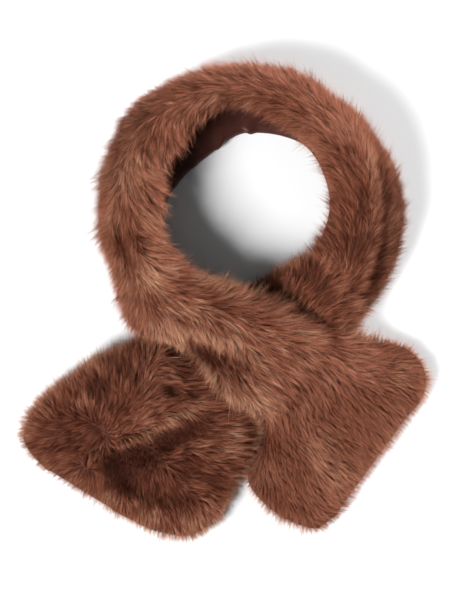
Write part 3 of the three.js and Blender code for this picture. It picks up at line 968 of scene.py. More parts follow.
@dataclass
class Cloth:
    """A stretch of fur cloth as a grid of points: its face, its groom and what is known of each point."""

    name: str
    face: np.ndarray  # (rows, columns, 3), the tips' surface, mm
    roots: np.ndarray  # the same grid where the hairs start, mm
    normals: np.ndarray
    flow: np.ndarray  # which way the pile lies, unit vectors
    length: np.ndarray  # of the pile, mm
    # tone carries the pile's own uneven shade and the painted shade and light of the combs, strokes, streaks
    # and rims
    tone: np.ndarray  # shade of the pile, 0 to 1
    lift: np.ndarray  # how much the pile stands up from the cloth
    fringe: np.ndarray  # how far the longest hairs may stand out past the tips' surface, mm
    contrast: np.ndarray  # how much the hairs differ in shade, 1 for long pile
    cover: np.ndarray = field(default_factory=lambda: np.ones(1))  # share of the full density

    def tree(self, grid: np.ndarray) -> BVHTree:
        """The surface of one of the cloth's grids, for rays and nearest points."""
        return BVHTree.FromPolygons(grid.reshape(-1, 3).tolist(), grid_faces(*grid.shape[:2]))

    def find_cover(self, others: Sequence[BVHTree]) -> None:
        """Thins the pile where nothing but other cloth or the surface below could see it."""
        ways = [Vector((0, 0, 1))]
        for tilt, count in VIEW_RINGS:
            e = math.radians(tilt)
            for i in range(count):
                a = 2 * math.pi * i / count
                ways.append(Vector((math.cos(a) * math.sin(e), math.sin(a) * math.sin(e), math.cos(e))))
        points = (self.face + self.normals).reshape(-1, 3)
        open_share = np.zeros(len(points))
        for i, p in enumerate(points):
            start = Vector(p)
            clear = sum(all(t.ray_cast(start, w, FAR)[0] is None for t in others) for w in ways)
            open_share[i] = clear / len(ways)
        share = open_share.reshape(self.face.shape[:2])
        standing = RESTING_COVER + (1 - RESTING_COVER) * smoothstep(self.face[..., 2], 0.5, 4.0)
        self.cover = np.maximum(smoothstep(share, 0.0, 0.12) * standing, LEAST_COVER)

    def rein_in(self, seed: int) -> None:
        """Shortens the pile where it would stand out too far, unevenly by the seed."""
        draws = np.random.default_rng(seed).uniform(0, 1, self.length.shape)
        allowed = LEAST_FRINGE + self.fringe * draws**FRINGE_POWER
        rows, columns = self.face.shape[:2]
        tree = self.tree(self.face)
        for i in range(rows):
            for j in range(columns):
                way = HAIR_ALONG * self.flow[i, j] + HAIR_UP * self.normals[i, j]
                for share in TRIMS:
                    reach = self.length[i, j] * share
                    tip = self.roots[i, j] + reach * way
                    near, _, index, away = tree.find_nearest(Vector(tip))
                    normal = self.normals[index // (columns - 1), index % (columns - 1)]
                    if away * np.sign((tip - np.array(near)) @ normal) <= allowed[i, j]:
                        break
                self.length[i, j] = reach

    def fill_short(self) -> None:
        """Sets more hairs where they are short."""
        self.cover = self.cover * np.clip(FULL_LENGTH / self.length, *COVER_LIMITS)


def neck_face_knots(r: np.ndarray) -> np.ndarray:
    """Knots of the fur's face round each neck section, from the foot up the outside and over to the lip."""
    _, foot, lip, crest, shoulder, outside, height, bulge = r.T
    zero = np.zeros_like(foot)
    knots = (
        (foot + 1.5, zero + 1),
        (foot + 4, zero),
        ((foot + outside) / 2, zero),
        (outside - 15, zero),
        (outside - 3, 0.45 * bulge),
        (outside, bulge),
        ((outside + shoulder) / 2, bulge + 0.6 * (height - 8 - bulge)),
        (shoulder, height - 8),
        ((shoulder + crest) / 2, height - 2),
        (crest, height),
        (crest + 0.55 * (lip - crest), height - 3),
        (lip + 3, height - 8),
        (lip, height - 14),
        (lip + 3, height - 20),
    )
    return np.stack([np.stack(k, axis=-1) for k in knots], axis=1)


def neck_back_knots(r: np.ndarray) -> np.ndarray:
    """Knots of the back of the fur cloth in each neck section, from the lip down the inside to the foot."""
    _, foot, lip, crest, shoulder, outside, height, bulge = r.T
    t = FUR_THICKNESS
    zero = np.zeros_like(foot)
    knots = (
        (lip + 10, height - 5 - t),
        (crest, height - t),
        (shoulder - 5, height - 8 - t),
        (outside - 3 - t, (bulge + height - 20) / 2),
        (outside - 5 - t, zero + CRUSHED_FUR + 8),
        (outside - 14 - t, zero + CRUSHED_FUR + 2),
        (foot + 8, zero + CRUSHED_FUR),
        (foot + 2, zero + CRUSHED_FUR - 1),
        (foot, zero + 4),
    )
    return np.stack([np.stack(k, axis=-1) for k in knots], axis=1)


def from_neck(angles: np.ndarray, lines: np.ndarray) -> np.ndarray:
    """Section lines set round the neck, in mm."""
    a = np.radians(angles)[:, None]
    x, y = NECK[0] + lines[..., 0] * np.cos(a), NECK[1] + lines[..., 0] * np.sin(a)
    return np.stack([x, y, lines[..., 1]], axis=-1)


def moved_aside(lines: np.ndarray, distance: float) -> np.ndarray:
    """Section lines moved to the left of their way."""
    way = unit(np.gradient(lines, axis=1))
    return lines + distance * np.stack([-way[..., 1], way[..., 0]], axis=-1)


def pile_depth(face: np.ndarray, full: float, least: float = 1.0) -> np.ndarray:
    """How far under the tips' surface the hairs start, least where the cloth rests on them."""
    return least + (full - least) * smoothstep(face[..., 2], 1.0, 14.0)


@dataclass(frozen=True)
class NeckStretch:
    """A stretch of the neck ring: fur cloth that curls open towards the neck, and its lining."""

    name: str
    start: float  # where it starts and stops round the neck, degrees
    stop: float
    full_depth: float = 6.5  # of the pile over the cloth, mm
    pile_length: float = 16.0
    shade: float = 0.47
    lift: float = 0.06
    lip_fringe: float = 6.0  # how much further the longest hairs stand out at the lip, mm
    foot_height: float = 9.0  # what the lining narrows to inside an end, mm
    narrowing: float = 0.022  # for each degree there
    stand_in: float = 0.25  # how far the lining's soft unevenness stands in, mm
    part_inside: float = 2.0  # how far inside the shoulder the pile parts, mm
    folds_above: float = 0.5  # the share of the ring's height above which folds reach
    lining_step: float = 1.6  # degrees
    face_points: int = 58  # across each section
    back_points: int = 26
    lining_points: int = 40

    def rows(self, start: float, stop: float, step: float) -> np.ndarray:
        """Sections between two angles, about step degrees apart."""
        angles = np.linspace(start, stop, max(2, round(abs(stop - start) / step)) + 1)
        made = rows_by_angle(NECK_ROWS, angles)
        made[:, 0] = angles
        return made

    def cloth_rows(self) -> np.ndarray:
        """The cloth's own sections, a grid step apart."""
        return self.rows(self.start, self.stop, math.degrees(GRID / RING_RADIUS))

    def cloth(self) -> Cloth:
        """The fur cloth's face and groom."""
        groom = NECK_GROOM
        r = self.cloth_rows()
        lines = smooth_lines(neck_face_knots(r), self.face_points)
        raw = from_neck(r[:, 0], lines)
        face = folded(raw, (raw[..., 2] > self.folds_above * r[:, None, 6]).astype(float))
        normals = normals_of(face)
        face = groom.bumped(face, normals)
        roots = face - normals * pile_depth(face, self.full_depth)[..., None]
        comb = rows_by_angle(NECK_COMBS, r[:, 0])[:, :, None]
        lip, crest, shoulder, outside = (r[:, i][:, None] for i in (2, 3, 4, 5))
        part = shoulder - self.part_inside
        inward = np.clip((part - lines[..., 0]) / (part - crest), 0, 1)
        inmost = np.clip((crest - lines[..., 0]) / (crest - lip), 0, 1)
        outward = np.clip((lines[..., 0] - part) / (outside - part), 0, 1)
        lean = comb[:, 1] * inward + (comb[:, 2] - comb[:, 1]) * inmost + comb[:, 3] * outward
        along, across = unit(np.gradient(face, axis=0)), unit(np.gradient(face, axis=1))
        flow = turned(along, np.cross(along, across), with_waves(lean, face, *groom.leans))
        contrast = comb[:, 6] * np.ones_like(outward)
        # The comb's shades add painted shade to the stretch's own shade.
        shade = self.shade + comb[:, 4] + (comb[:, 5] - comb[:, 4]) * outward
        cloth = Cloth(
            name=self.name,
            face=face,
            roots=roots,
            normals=normals,
            flow=unit(flow),
            length=groom.lengths_at(face, self.pile_length),
            tone=groom.shades_at(face, shade, contrast),
            lift=np.full_like(outward, self.lift),
            fringe=groom.fringe + self.lip_fringe * inmost,
            contrast=contrast,
        )
        combed(cloth, (), groom)
        return cloth

    def shell(self, cloth: Cloth) -> bpy.types.Mesh:
        """The cloth with its backing, as a closed shell."""
        r = self.cloth_rows()
        back = from_neck(r[:, 0], smooth_lines(neck_back_knots(r), self.back_points))
        return loft(f"{self.name} cloth", np.concatenate([cloth.roots, back], axis=1))

    def lining(self) -> tuple[bpy.types.Mesh, tuple[float, float]]:
        """The lining inside the cloth and its cut, run on into the ends where they take over."""
        first = self.start - (LINING_RUN_IN if self.start == RING_START else 0.0)
        last = self.stop + (LINING_RUN_IN if self.stop == RING_STOP else 0.0)
        r = self.rows(first, last, self.lining_step)
        past = np.maximum(np.maximum(RING_START - r[:, :1], r[:, :1] - RING_STOP), 0)
        back = smooth_lines(neck_back_knots(r), self.lining_points)
        low = self.foot_height + (back[..., 1] - self.foot_height) * (1 - self.narrowing * past)
        back[..., 1] = np.where(past > 0, low, back[..., 1])
        outer = from_neck(r[:, 0], moved_aside(back, -LINING_GAP))
        inner = from_neck(r[:, 0], moved_aside(back, -LINING_GAP - LINING_THICKNESS))
        round_ring = np.radians(r[:, :1]) * LINING_RADIUS * np.ones_like(inner[..., 2])
        unrolled = np.stack([round_ring, inner[..., 2]], axis=-1)
        rise = self.stand_in * (1 + drift(inner, 9, 22))
        for fold in LINING_FOLDS:
            start = np.array([math.radians(fold.from_angle) * LINING_RADIUS, fold.from_height])
            stop = np.array([math.radians(fold.to_angle) * LINING_RADIUS, fold.to_height])
            away, along, _ = along_line(unrolled, (*start, *((start + stop) / 2), *stop))
            rise = rise + fold.rise * fade(away / fold.reach) * np.sqrt(fade((2 * along - 1) * 0.98))
        to_neck = unit(np.append(NECK, 0) - inner * np.array([1, 1, 0]))
        rise = rise * smoothstep(inner[..., 2], 0.5, 4)
        inner = inner + to_neck * rise[..., None]
        outer = outer + to_neck * (rise * 0.9)[..., None]
        return loft(f"{self.name} lining", np.concatenate([outer, inner[:, ::-1]], axis=1)), cut_of(inner)


@dataclass(frozen=True)
class EndStretch:
    """An end of the strip: a broad round-cornered panel of fur cloth with its lining beneath."""

    name: str
    table: tuple[EndRow, ...]
    pile: PileFlow
    strokes: tuple[Stroke, ...]
    shade: float = 0.5
    plush: float = 0.0  # how much the end has a shorter pile that stands up more
    full_depth: float = 6.5  # of the pile over the cloth, mm
    pile_length: float = 15.0
    spread: float = 52.0  # how far the pile leans out to both edges, degrees
    contrast: float = 1.9  # how much the hairs differ in shade
    lift: float = 0.06
    free_lift: float = 0.22  # how much more the pile stands up towards the free end
    backing: float = 2.6  # thickness of the cloth under the pile, mm
    lining_inset: float = 5.0
    lining_height: float = 0.9  # of its underside over the surface
    lining_thickness: float = 1.2
    folds_above: float = 0.3  # the share of the panel's height above which folds reach
    face_points: int = 78  # across each section
    lining_points: int = 34

    def rows(self) -> np.ndarray:
        """Sections about a grid step apart, with their place in the table in the first column."""
        places = np.linspace(0, len(self.table) - 1, 400)
        r = rows_at(self.table, places)
        mid = np.stack([(r[:, 0] + r[:, 2]) / 2, (r[:, 1] + r[:, 3]) / 2], axis=-1)
        along = np.concatenate([[0], np.cumsum(np.linalg.norm(np.diff(mid, axis=0), axis=1))])
        want = np.interp(np.linspace(0, along[-1], round(along[-1] / GRID) + 1), along, places)
        return np.concatenate([want[:, None], rows_at(self.table, want)], axis=1)

    def lines(self, r: np.ndarray, count: int) -> tuple[np.ndarray, np.ndarray, np.ndarray]:
        """Section lines, widths and directions across."""
        edge, out = r[:, 1:3], r[:, 3:5]
        width = np.linalg.norm(out - edge, axis=1)
        h = r[:, 5:10]
        first, last = np.minimum(EDGE_ROUND, 0.5 * h[:, 0]), np.minimum(EDGE_ROUND, 0.5 * h[:, 4])
        zero = np.zeros_like(width)
        knots = (
            (first, zero),
            (zero + 0.6, 0.3 * h[:, 0]),
            (zero, 0.55 * h[:, 0]),
            (0.035 * width, 0.86 * h[:, 0]),
            *((share * width, h[:, i]) for i, share in enumerate(CROSS_SHARES)),
            (0.975 * width, 0.8 * h[:, 4]),
            (width, 0.5 * h[:, 4]),
            (width - 0.6, 0.25 * h[:, 4]),
            (width - last, zero),
        )
        lines = smooth_lines(np.stack([np.stack(k, axis=-1) for k in knots], axis=1), count)
        return lines, width, (out - edge) / width[:, None]

    def cloth(self) -> Cloth:
        """The fur cloth's face and groom."""
        groom = END_GROOM
        r = self.rows()
        lines, width, side = self.lines(r, self.face_points)
        xy = r[:, None, 1:3] + lines[..., :1] * side[:, None]
        raw = np.concatenate([xy, lines[..., 1:]], axis=-1)
        face = folded(raw, (lines[..., 1] > self.folds_above * r[:, 7][:, None]).astype(float))
        normals = normals_of(face)
        face = groom.bumped(face, normals)
        roots = face - normals * pile_depth(face, self.full_depth)[..., None]
        along = unit(np.gradient(face, axis=0)) * self.pile.value
        across = unit(np.gradient(face, axis=1))
        w = 2 * lines[..., 0] / width[:, None] - 1
        lean = with_waves(self.spread * np.sign(w) * np.abs(w) ** 1.6, face, *groom.leans)
        place = r[:, :1]
        plush = self.plush * smoothstep(place, 5.5, 8.5)
        length = self.pile_length - 3 * smoothstep(place, 5, 9) - plush
        lift = self.lift + self.free_lift * smoothstep(place, 6, 9) - 0.06 * plush
        contrast = (self.contrast - 1.4 * plush) * np.ones_like(w)
        cloth = Cloth(
            name=self.name,
            face=face,
            roots=roots,
            normals=normals,
            flow=turned(along, np.cross(along, across), lean),
            length=groom.lengths_at(face, length),
            tone=groom.shades_at(face, self.shade, contrast),
            lift=lift * np.ones_like(w),
            fringe=np.full_like(w, groom.fringe),
            contrast=contrast,
        )
        combed(cloth, self.strokes, groom)
        return cloth

    def shell(self, cloth: Cloth) -> bpy.types.Mesh:
        """The cloth with its backing, as a closed shell that meets itself along the end edge."""
        outer, inner = cloth.roots, cloth.roots - cloth.normals * self.backing
        inner[..., 2] = np.maximum(inner[..., 2], 0.8)
        rings = np.concatenate([outer, inner[:, ::-1]], axis=1)
        rings[..., 2] = np.maximum(rings[..., 2], 0.4)
        last = rings[-1:].copy()
        last[..., 2] = np.concatenate([np.full(outer.shape[1], 1.8), np.full(outer.shape[1], 1.2)])
        return loft(f"{self.name} cloth", np.concatenate([rings, last], axis=0))

    def outline(self) -> np.ndarray:
        """The panel's outline seen from above, mm."""
        r = self.rows()
        return np.concatenate([r[:, 1:3], r[::-1, 3:5]])

    def lining(self, skip: Sequence[np.ndarray]) -> tuple[bpy.types.Mesh, tuple[float, float]]:
        """The lining under the panel and its cut, inside the fur's edge and left out inside another end."""
        r = self.rows()[2:-2]
        shares = np.linspace(0, 1, self.lining_points)[None, :, None]
        edge, out = r[:, None, 1:3], r[:, None, 3:5]
        side = unit(out - edge)
        inset = side * self.lining_inset
        flat = edge + inset + (out - edge - 2 * inset) * shares
        level = np.concatenate([flat, np.zeros_like(flat[..., :1])], axis=-1)
        height = with_waves(self.lining_height, level, PUCKERS)
        low = np.concatenate([flat, height[..., None]], axis=-1)
        whole = grid_faces(*flat.shape[:2])
        points = low.reshape(-1, 3)
        faces = [f for f in whole if not any(inside(points[list(f), :2].mean(axis=0), s) for s in skip)]
        across, along = cut_of(low)
        mesh = slab(f"{self.name} lining", points, faces, self.lining_thickness)
        return mesh, (across, along * len(faces) / len(whole))


def inside(point: np.ndarray, outline: np.ndarray) -> bool:
    """Whether a point lies inside an outline seen from above."""
    a, b = outline, np.roll(outline, -1, axis=0)
    crosses = (a[:, 1] > point[1]) != (b[:, 1] > point[1])
    at = a[:, 0] + (point[1] - a[:, 1]) / np.where(crosses, b[:, 1] - a[:, 1], 1) * (b[:, 0] - a[:, 0])
    return bool(np.sum(crosses & (point[0] < at)) % 2)


def slab(name: str, low: np.ndarray, faces: Sequence[Sequence[int]], thickness: float) -> bpy.types.Mesh:
    """A thin closed sheet from its lower points and faces."""
    used = sorted({i for f in faces for i in f})
    new = {old: i for i, old in enumerate(used)}
    faces = [tuple(new[i] for i in f) for f in faces]
    low = low[used]
    n = len(low)
    high = low + np.array([0, 0, thickness])
    edges: dict[tuple[int, int], int] = {}
    for f in faces:
        for a, b in zip(f, (*f[1:], f[0])):
            edges[(a, b)] = edges.get((a, b), 0) + 1
    rim = [(a, b) for a, b in edges if (b, a) not in edges]
    every = [tuple(i + n for i in f) for f in faces] + [tuple(reversed(f)) for f in faces]
    every += [(a, b, b + n, a + n) for a, b in rim]
    return closed_mesh(name, np.concatenate([low, high]), every)


@dataclass
class TuftMaker:
    """Small locks of hair that the pile is set from: a few hairs that lean together towards their tips."""

    kinds: int = 10
    bent_hairs: int = 5
    straight_hairs: int = 3
    spread: float = 1.7  # of the roots, mm
    length: float = LOCK_LENGTH
    width: float = 0.2  # of a hair at its root, mm
    gather: tuple[float, float] = (0.1, 0.5)  # how much the tips draw together
    short: tuple[float, float] = (0.6, 1.0)  # reach of a common hair, as a share of the length
    long: tuple[float, float] = (1.1, 1.35)  # reach of a guard hair
    long_share: float = 0.12
    sway: float = 1.0  # sideways at the tip, mm
    lift_spread: float = 0.06
    roll: float = 0.55  # of a hair about its own line, radians
    bent: tuple[tuple[float, float], ...] = ((0.0, 1.0), (0.52, 0.85), (1.0, 0.0))  # places and widths
    straight: tuple[tuple[float, float], ...] = ((0.0, 1.15), (1.0, 0.0))
    seed: int = 5

    def build(self) -> bpy.types.Collection:
        """The locks, in a collection that isn't in the scene."""
        rng = np.random.default_rng(self.seed)
        tufts = bpy.data.collections.new("tufts")
        for kind in range(self.kinds):
            mesh = self._lock(f"tuft {kind:02d}", rng)
            tufts.objects.link(bpy.data.objects.new(mesh.name, mesh))
        return tufts

    def _lock(self, name: str, rng: np.random.Generator) -> bpy.types.Mesh:
        """One lock; its points know how far along their hair they are, their side of it and its hue."""
        points, faces, along, side, hue = [], [], [], [], []
        together = rng.uniform(*self.gather)
        for hair in range(self.bent_hairs + self.straight_hairs):
            bent = hair < self.bent_hairs
            guard = rng.uniform() <= self.long_share
            reach = self.length * rng.uniform(*(self.long if guard else self.short))
            angle, away = rng.uniform(0, 2 * math.pi), self.spread * math.sqrt(rng.uniform(0, 1))
            root = np.array([math.cos(angle), math.sin(angle)]) * away
            sway, lift = rng.normal(0, self.sway), rng.normal(0, self.lift_spread)
            roll = rng.normal(0, self.roll)
            wide = np.array([0, math.cos(roll), math.sin(roll)])
            tint = rng.normal(0, 1)
            start = len(points)
            for t, thick in self.bent if bent else self.straight:
                drawn = 1 - together * t
                x = root[0] * drawn + reach * (t - 0.06 * t * t)
                y = root[1] * drawn + sway * t * t
                z = reach * ((0.62 + lift) * t - 0.30 * t * t)
                for sign in (-1, 1) if thick else (0,):
                    points.append(np.array([x, y, z]) + sign * wide * self.width * thick / 2)
                    along.append(t)
                    side.append(float(sign))
                    hue.append(tint)
            if bent:
                faces.append((start, start + 1, start + 3, start + 2))
            last = len(points) - 3
            faces.append((last, last + 1, last + 2))
        mesh = mesh_of(name, np.array(points), faces)
        for key, values in (("along", along), ("side", side), ("hue", hue)):
            mesh.attributes.new(key, "FLOAT", "POINT").data.foreach_set("value", values)
        return mesh


class PileSetter:
    """Sets the pile on fur cloth with a node tree that spreads the locks and lays them along the flow."""

    STRAY, PITCH, ROLL, SIZE, SHADE = 11, 21, 22, 31, 41  # added to the seed for each random choice
    SOCKETS = (
        ("Cloth", "NodeSocketGeometry", None),
        ("Tufts", "NodeSocketCollection", None),
        ("Tufts per square metre", "NodeSocketFloat", 200000.0),
        ("Stray", "NodeSocketFloat", 0.2),
        ("Shade spread", "NodeSocketFloat", 0.13),
        ("Floor", "NodeSocketFloat", 0.0004),
        ("Finish", "NodeSocketMaterial", None),
        ("Seed", "NodeSocketInt", 1),
    )
    LAYERS = ("flow", "outward", "cover", "reach", "tone", "contrast", "shade", "along", "side", "hue")

    def __init__(self, tufts: bpy.types.Collection, finish: bpy.types.Material) -> None:
        """Builds the tree once for all the stretches."""
        self.tufts = tufts
        self.finish = finish
        self.tree = bpy.data.node_groups.new("pile", "GeometryNodeTree")
        self.tree.is_modifier = True
        self.inputs: dict[str, str] = {}
        for name, kind, default in self.SOCKETS:
            socket = self.tree.interface.new_socket(name, in_out="INPUT", socket_type=kind)
            if default is not None:
                socket.default_value = default
            self.inputs[name] = socket.identifier
        self.tree.interface.new_socket("Pile", in_out="OUTPUT", socket_type="NodeSocketGeometry")
        self.graph = Graph(self.tree)
        self.given = self.graph.node("NodeGroupInput")
        done = self._mapped(self._laid(self._locks()))
        self.tree.links.new(done.socket, self.tree.nodes.new("NodeGroupOutput").inputs[0])

    def _named(self, name: str, kind: str = "FLOAT") -> Expr:
        """An attribute of the geometry."""
        settings = {"data_type": kind}
        return self.graph.node("GeometryNodeInputNamedAttribute", settings, {"Name": name})["Attribute"]

    def _chance(self, low: Any, high: Any, salt: int, kind: str = "FLOAT") -> Expr:
        """A random value for each lock."""
        inputs = {"Min": low, "Max": high, "Seed": self.given["Seed"] + salt}
        return self.graph.node("FunctionNodeRandomValue", {"data_type": kind}, inputs)["Value"]

    def _turned(self) -> Expr:
        """How each lock is turned: along the flow, a little astray, and tipped about its own root."""
        g = self.graph
        stray = self._chance((-1.0,) * 3, (1.0,) * 3, self.STRAY, "FLOAT_VECTOR")
        scaled = {0: stray, "Scale": self.given["Stray"]}
        stray = g.node("ShaderNodeVectorMath", {"operation": "SCALE"}, scaled)["Vector"]
        summed = {0: self._named("flow", "FLOAT_VECTOR"), 1: stray}
        way = g.node("ShaderNodeVectorMath", {"operation": "ADD"}, summed)["Vector"]
        axes = {"primary_axis": "X", "secondary_axis": "Z"}
        ways = {"Primary Axis": way, "Secondary Axis": self._named("outward", "FLOAT_VECTOR")}
        settled = g.node("FunctionNodeAxesToRotation", axes, ways)["Rotation"]
        tip = g.vector(X=self._chance(-0.25, 0.25, self.PITCH), Y=self._chance(-0.1, 0.12, self.ROLL))
        tip = g.node("FunctionNodeEulerToRotation", {}, {"Euler": tip})["Rotation"]
        turn = {"Rotation": settled, "Rotate By": tip}
        return g.node("FunctionNodeRotateRotation", {"rotation_space": "LOCAL"}, turn)["Rotation"]

    def _locks(self) -> Expr:
        """The locks on the cloth, each with its shade, realized."""
        g, given = self.graph, self.given
        spread = {
            "Mesh": given["Cloth"],
            "Density": given["Tufts per square metre"] * self._named("cover"),
            "Seed": given["Seed"],
        }
        places = g.node("GeometryNodeDistributePointsOnFaces", {"distribute_method": "RANDOM"}, spread)
        kinds = {"Collection": given["Tufts"], "Separate Children": True}
        size = self._named("reach") * self._chance(0.8, 1.12, self.SIZE)
        locks = {
            "Points": places["Points"],
            "Instance": g.node("GeometryNodeCollectionInfo", {}, kinds)["Instances"],
            "Pick Instance": True,
            "Rotation": self._turned(),
            "Scale": g.vector(X=size, Y=size, Z=size),
        }
        astray = self._chance(-1.0, 1.0, self.SHADE) * given["Shade spread"] * self._named("contrast")
        shade = {
            "Geometry": g.node("GeometryNodeInstanceOnPoints", {}, locks)["Instances"],
            "Name": "shade",
            "Value": self._named("tone") + astray,
        }
        kind = {"data_type": "FLOAT", "domain": "INSTANCE"}
        toned = g.node("GeometryNodeStoreNamedAttribute", kind, shade)["Geometry"]
        return g.node("GeometryNodeRealizeInstances", {}, {"Geometry": toned})["Geometry"]

    def _laid(self, locks: Expr) -> Expr:
        """The locks with no hair below the surface that the wrap lies on."""
        g = self.graph
        place = g.node("ShaderNodeSeparateXYZ", {}, {0: g.node("GeometryNodeInputPosition")["Position"]})
        floor = self.given["Floor"] + self._named("hue") * 0.0001
        raised = {"Geometry": locks, "Offset": g.vector(Z=(floor - place["Z"]).at_least(0.0))}
        return g.node("GeometryNodeSetPosition", {}, raised)["Geometry"]

    def _mapped(self, locks: Expr) -> Expr:
        """The locks with their finish and its map: a hair's shade across, and up from root to tip."""
        g = self.graph
        across = (self._named("shade") + self._named("hue") * 0.15).at_least(0.02).at_most(0.98)
        across = across + self._named("side") * 0.004
        up = self._named("along") * 0.96 + 0.02
        values = {"Geometry": locks, "Name": "OFBake", "Value": g.vector(X=across, Y=up)}
        kind = {"data_type": "FLOAT2", "domain": "CORNER"}
        mapped = g.node("GeometryNodeStoreNamedAttribute", kind, values)["Geometry"]
        dressed = {"Geometry": mapped, "Material": self.given["Finish"]}
        return g.node("GeometryNodeSetMaterial", {}, dressed)["Geometry"]

    def _groom(self, cloth: Cloth) -> bpy.types.Object:
        """The surface of the roots, with what the tree reads from it."""
        points, faces = (cloth.roots + CENTRE).reshape(-1, 3), grid_faces(*cloth.roots.shape[:2])
        mesh = mesh_of(f"{cloth.name} groom", points, faces)
        for name, kind, key, values in (
            ("flow", "FLOAT_VECTOR", "vector", cloth.flow),
            ("outward", "FLOAT_VECTOR", "vector", cloth.normals),
            ("cover", "FLOAT", "value", cloth.cover),
            ("reach", "FLOAT", "value", cloth.length / LOCK_LENGTH),
            ("tone", "FLOAT", "value", cloth.tone),
            ("contrast", "FLOAT", "value", cloth.contrast),
        ):
            mesh.attributes.new(name, kind, "POINT").data.foreach_set(key, values.astype(np.float32).ravel())
        return placed(f"{cloth.name} groom", mesh)

    def set_pile(self, cloth: Cloth, tufts_wanted: int, seed: int) -> bpy.types.Object:
        """Sets the pile on a stretch.

        Args:
            cloth: the stretch.
            tufts_wanted: how many locks it gets.
            seed: for their places and turns.

        Returns:
            The pile as a plain mesh.
        """
        p = cloth.roots * MM
        size = np.linalg.norm(np.cross(p[1:, :-1] - p[:-1, :-1], p[:-1, 1:] - p[:-1, :-1]), axis=-1)
        dense = (cloth.cover[1:, :-1] + cloth.cover[:-1, 1:]) / 2
        groom = self._groom(cloth)
        modifier = groom.modifiers.new("pile", "NODES")
        modifier.node_group = self.tree
        for name, value in (
            ("Tufts", self.tufts),
            ("Tufts per square metre", float(tufts_wanted / (size * dense).sum())),
            ("Finish", self.finish),
            ("Seed", seed),
        ):
            modifier[self.inputs[name]] = value
        graph = bpy.context.evaluated_depsgraph_get()
        grown = groom.evaluated_get(graph)
        made = bpy.data.meshes.new_from_object(grown, preserve_all_data_layers=True, depsgraph=graph)
        made.name = f"{cloth.name} pile"
        for name in self.LAYERS:
            if name in made.attributes:
                made.attributes.remove(made.attributes[name])
        made.shade_smooth()
        bpy.data.objects.remove(groom)
        return placed(f"{cloth.name} pile", made)


@dataclass(frozen=True)
class SoftLight:
    """A rectangular soft light that is turned to the wrap."""

    name: str
    size: tuple[float, float]  # metres
    energy: float
    toward: tuple[float, float, float]  # which way it is from the wrap
    distance: float

    def hang(self) -> None:
        """Puts the light in the scene."""
        light = bpy.data.lights.new(self.name, "AREA")
        light.shape = "RECTANGLE"
        light.size, light.size_y = self.size
        light.energy = self.energy
        set_back(placed(self.name, light), Vector(), Vector(self.toward).normalized(), self.distance)


@dataclass
class Studio:
    """Camera, floor and soft light; metres and degrees."""

    distance: float = 2.4
    elevation: float = 85.0
    millimetre_per_pixel: float = 0.83
    picture_height: int = 600  # pixels
    sensor: float = 36.0  # mm
    aim_height: float = 0.02
    floor_reach: float = 9000.0  # mm
    paper: tuple[float, float, float, float] = (0.88, 0.88, 0.885, 1)
    surrounding: tuple[float, float, float, float] = (0.88, 1.03, 1.05, 1)
    surrounding_strength: float = 0.115
    lights: tuple[SoftLight, ...] = (
        SoftLight("window", (1.3, 1.3), 232, (-0.64, -0.47, 0.62), 3.5),
        SoftLight("reflector", (2.0, 0.4), 225, (0.79, 0.56, 0.25), 3.0),
    )

    def camera(self) -> None:
        """The camera at the photo's angle, nearly overhead."""
        data = bpy.data.cameras.new("camera")
        data.sensor_width = self.sensor
        data.lens = self.sensor * self.distance / (self.picture_height * self.millimetre_per_pixel * MM)
        data.clip_start, data.clip_end = 0.05, 50
        camera = placed("camera", data)
        e = math.radians(self.elevation)
        back = Vector((0, -math.cos(e), math.sin(e)))
        set_back(camera, Vector((0.0, 0.0, self.aim_height)), back, self.distance)
        bpy.context.scene.camera = camera

    def dress(self) -> None:
        """Floor, soft lights and surrounding light."""
        a = self.floor_reach
        corners = np.array([[-a, -a, 0], [a, -a, 0], [a, a, 0], [-a, a, 0]])
        floor = placed("floor", mesh_of("floor", corners, [(0, 1, 2, 3)]))
        paper, _ = new_material("white paper")
        set_surface(paper, {"Base Color": self.paper, "Roughness": 0.9, "Specular IOR Level": 0.0})
        floor.data.materials.append(paper)
        for light in self.lights:
            light.hang()
        world = bpy.data.worlds.new("studio")
        bpy.context.scene.world = world
        world.use_nodes = True
        background = {"Color": self.surrounding, "Strength": self.surrounding_strength}
        Graph(world.node_tree).fill(world.node_tree.nodes["Background"], background)
        bpy.context.scene.view_settings.view_transform = "Standard"


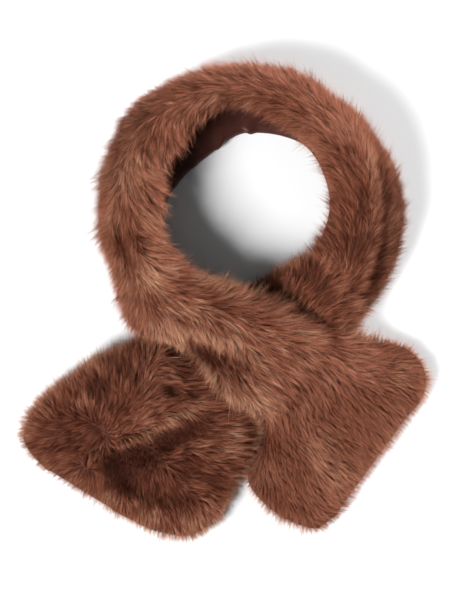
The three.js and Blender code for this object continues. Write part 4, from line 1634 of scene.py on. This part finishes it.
@dataclass
class Wrap:
    """The whole wrap: three stretches of the neck ring and two ends."""

    stretches: tuple[NeckStretch, ...] = (
        NeckStretch("neck right", RING_START, 52),
        NeckStretch("neck back", 52, 150),
        NeckStretch("neck left", 150, RING_STOP),
    )
    under: EndStretch = EndStretch("under end", UNDER_ROWS, PileFlow.AGAINST, UNDER_STROKES, 0.33)
    over: EndStretch = EndStretch("over end", OVER_ROWS, PileFlow.WITH, OVER_STROKES, 0.485, 1.0)
    tufts: tuple[int, ...] = (9600, 9000, 8200, 10800, 11000)  # how many locks each stretch gets

    def build(self) -> None:
        """Builds every piece."""
        fur, undercoat, satin = FurFinish().build(), UndercoatFinish().build(), SatinFinish().build()
        setter = PileSetter(TuftMaker().build(), fur)
        makers: list[NeckStretch | EndStretch] = [*self.stretches, self.under, self.over]
        cloths = [m.cloth() for m in makers]
        trees = [c.tree(c.roots) for c in cloths]
        for seed, (maker, cloth) in enumerate(zip(makers, cloths)):
            cloth.find_cover(trees)
            cloth.rein_in(seed)
            cloth.fill_short()
            shell = self._dress(maker.shell(cloth), f"{cloth.name} cloth", undercoat, "fur")
            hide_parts("fur_" + cloth.name.replace(" ", "_"))
            pile = setter.set_pile(cloth, self.tufts[seed], seed + 1)
            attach(pile, "root")
            cut = cut_of(cloth.roots)
            triangles = sum(len(p.vertices) - 2 for p in pile.data.polygons)
            LOG.info("%s: fur cut %.3f x %.3f m, %d triangles of pile", cloth.name, *cut, triangles)
            self._line(maker, satin)

    def _line(
        self, maker: NeckStretch | EndStretch, finish: bpy.types.Material
    ) -> None:
        if isinstance(maker, NeckStretch):
            mesh, cut = maker.lining()
        else:
            mesh, cut = maker.lining([self.under.outline()] if maker is self.over else [])
        lining = self._dress(mesh, f"{maker.name} lining", finish, "lining")
        if isinstance(maker, NeckStretch):
            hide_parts("lining_" + maker.name.replace(" ", "_"))
        LOG.info("%s: lining cut %.3f x %.3f m", maker.name, *cut)

    @staticmethod
    def _held(maker: NeckStretch | EndStretch) -> str:
        """How a stretch is held."""
        return "folded" if isinstance(maker, NeckStretch) else "laid"

    @staticmethod
    def _dress(mesh: bpy.types.Mesh, name: str, finish: bpy.types.Material, slot: str) -> bpy.types.Object:
        """Places a piece in the frame with its finish."""
        mesh.transform(Matrix.Translation(Vector(CENTRE * MM)))
        mesh.shade_smooth()
        mesh.set_sharp_from_angle(angle=math.radians(SHARP_FROM))
        obj = placed(name, mesh)
        obj.data.materials.append(finish)
        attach(obj, "root")
        return obj


def main() -> None:
    """Builds the wrap in its studio."""
    logging.basicConfig(level=logging.INFO, format="%(name)s: %(message)s")
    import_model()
    studio = Studio()
    studio.camera()
    studio.dress()
    Wrap().build()


if __name__ == "__main__":
    main()
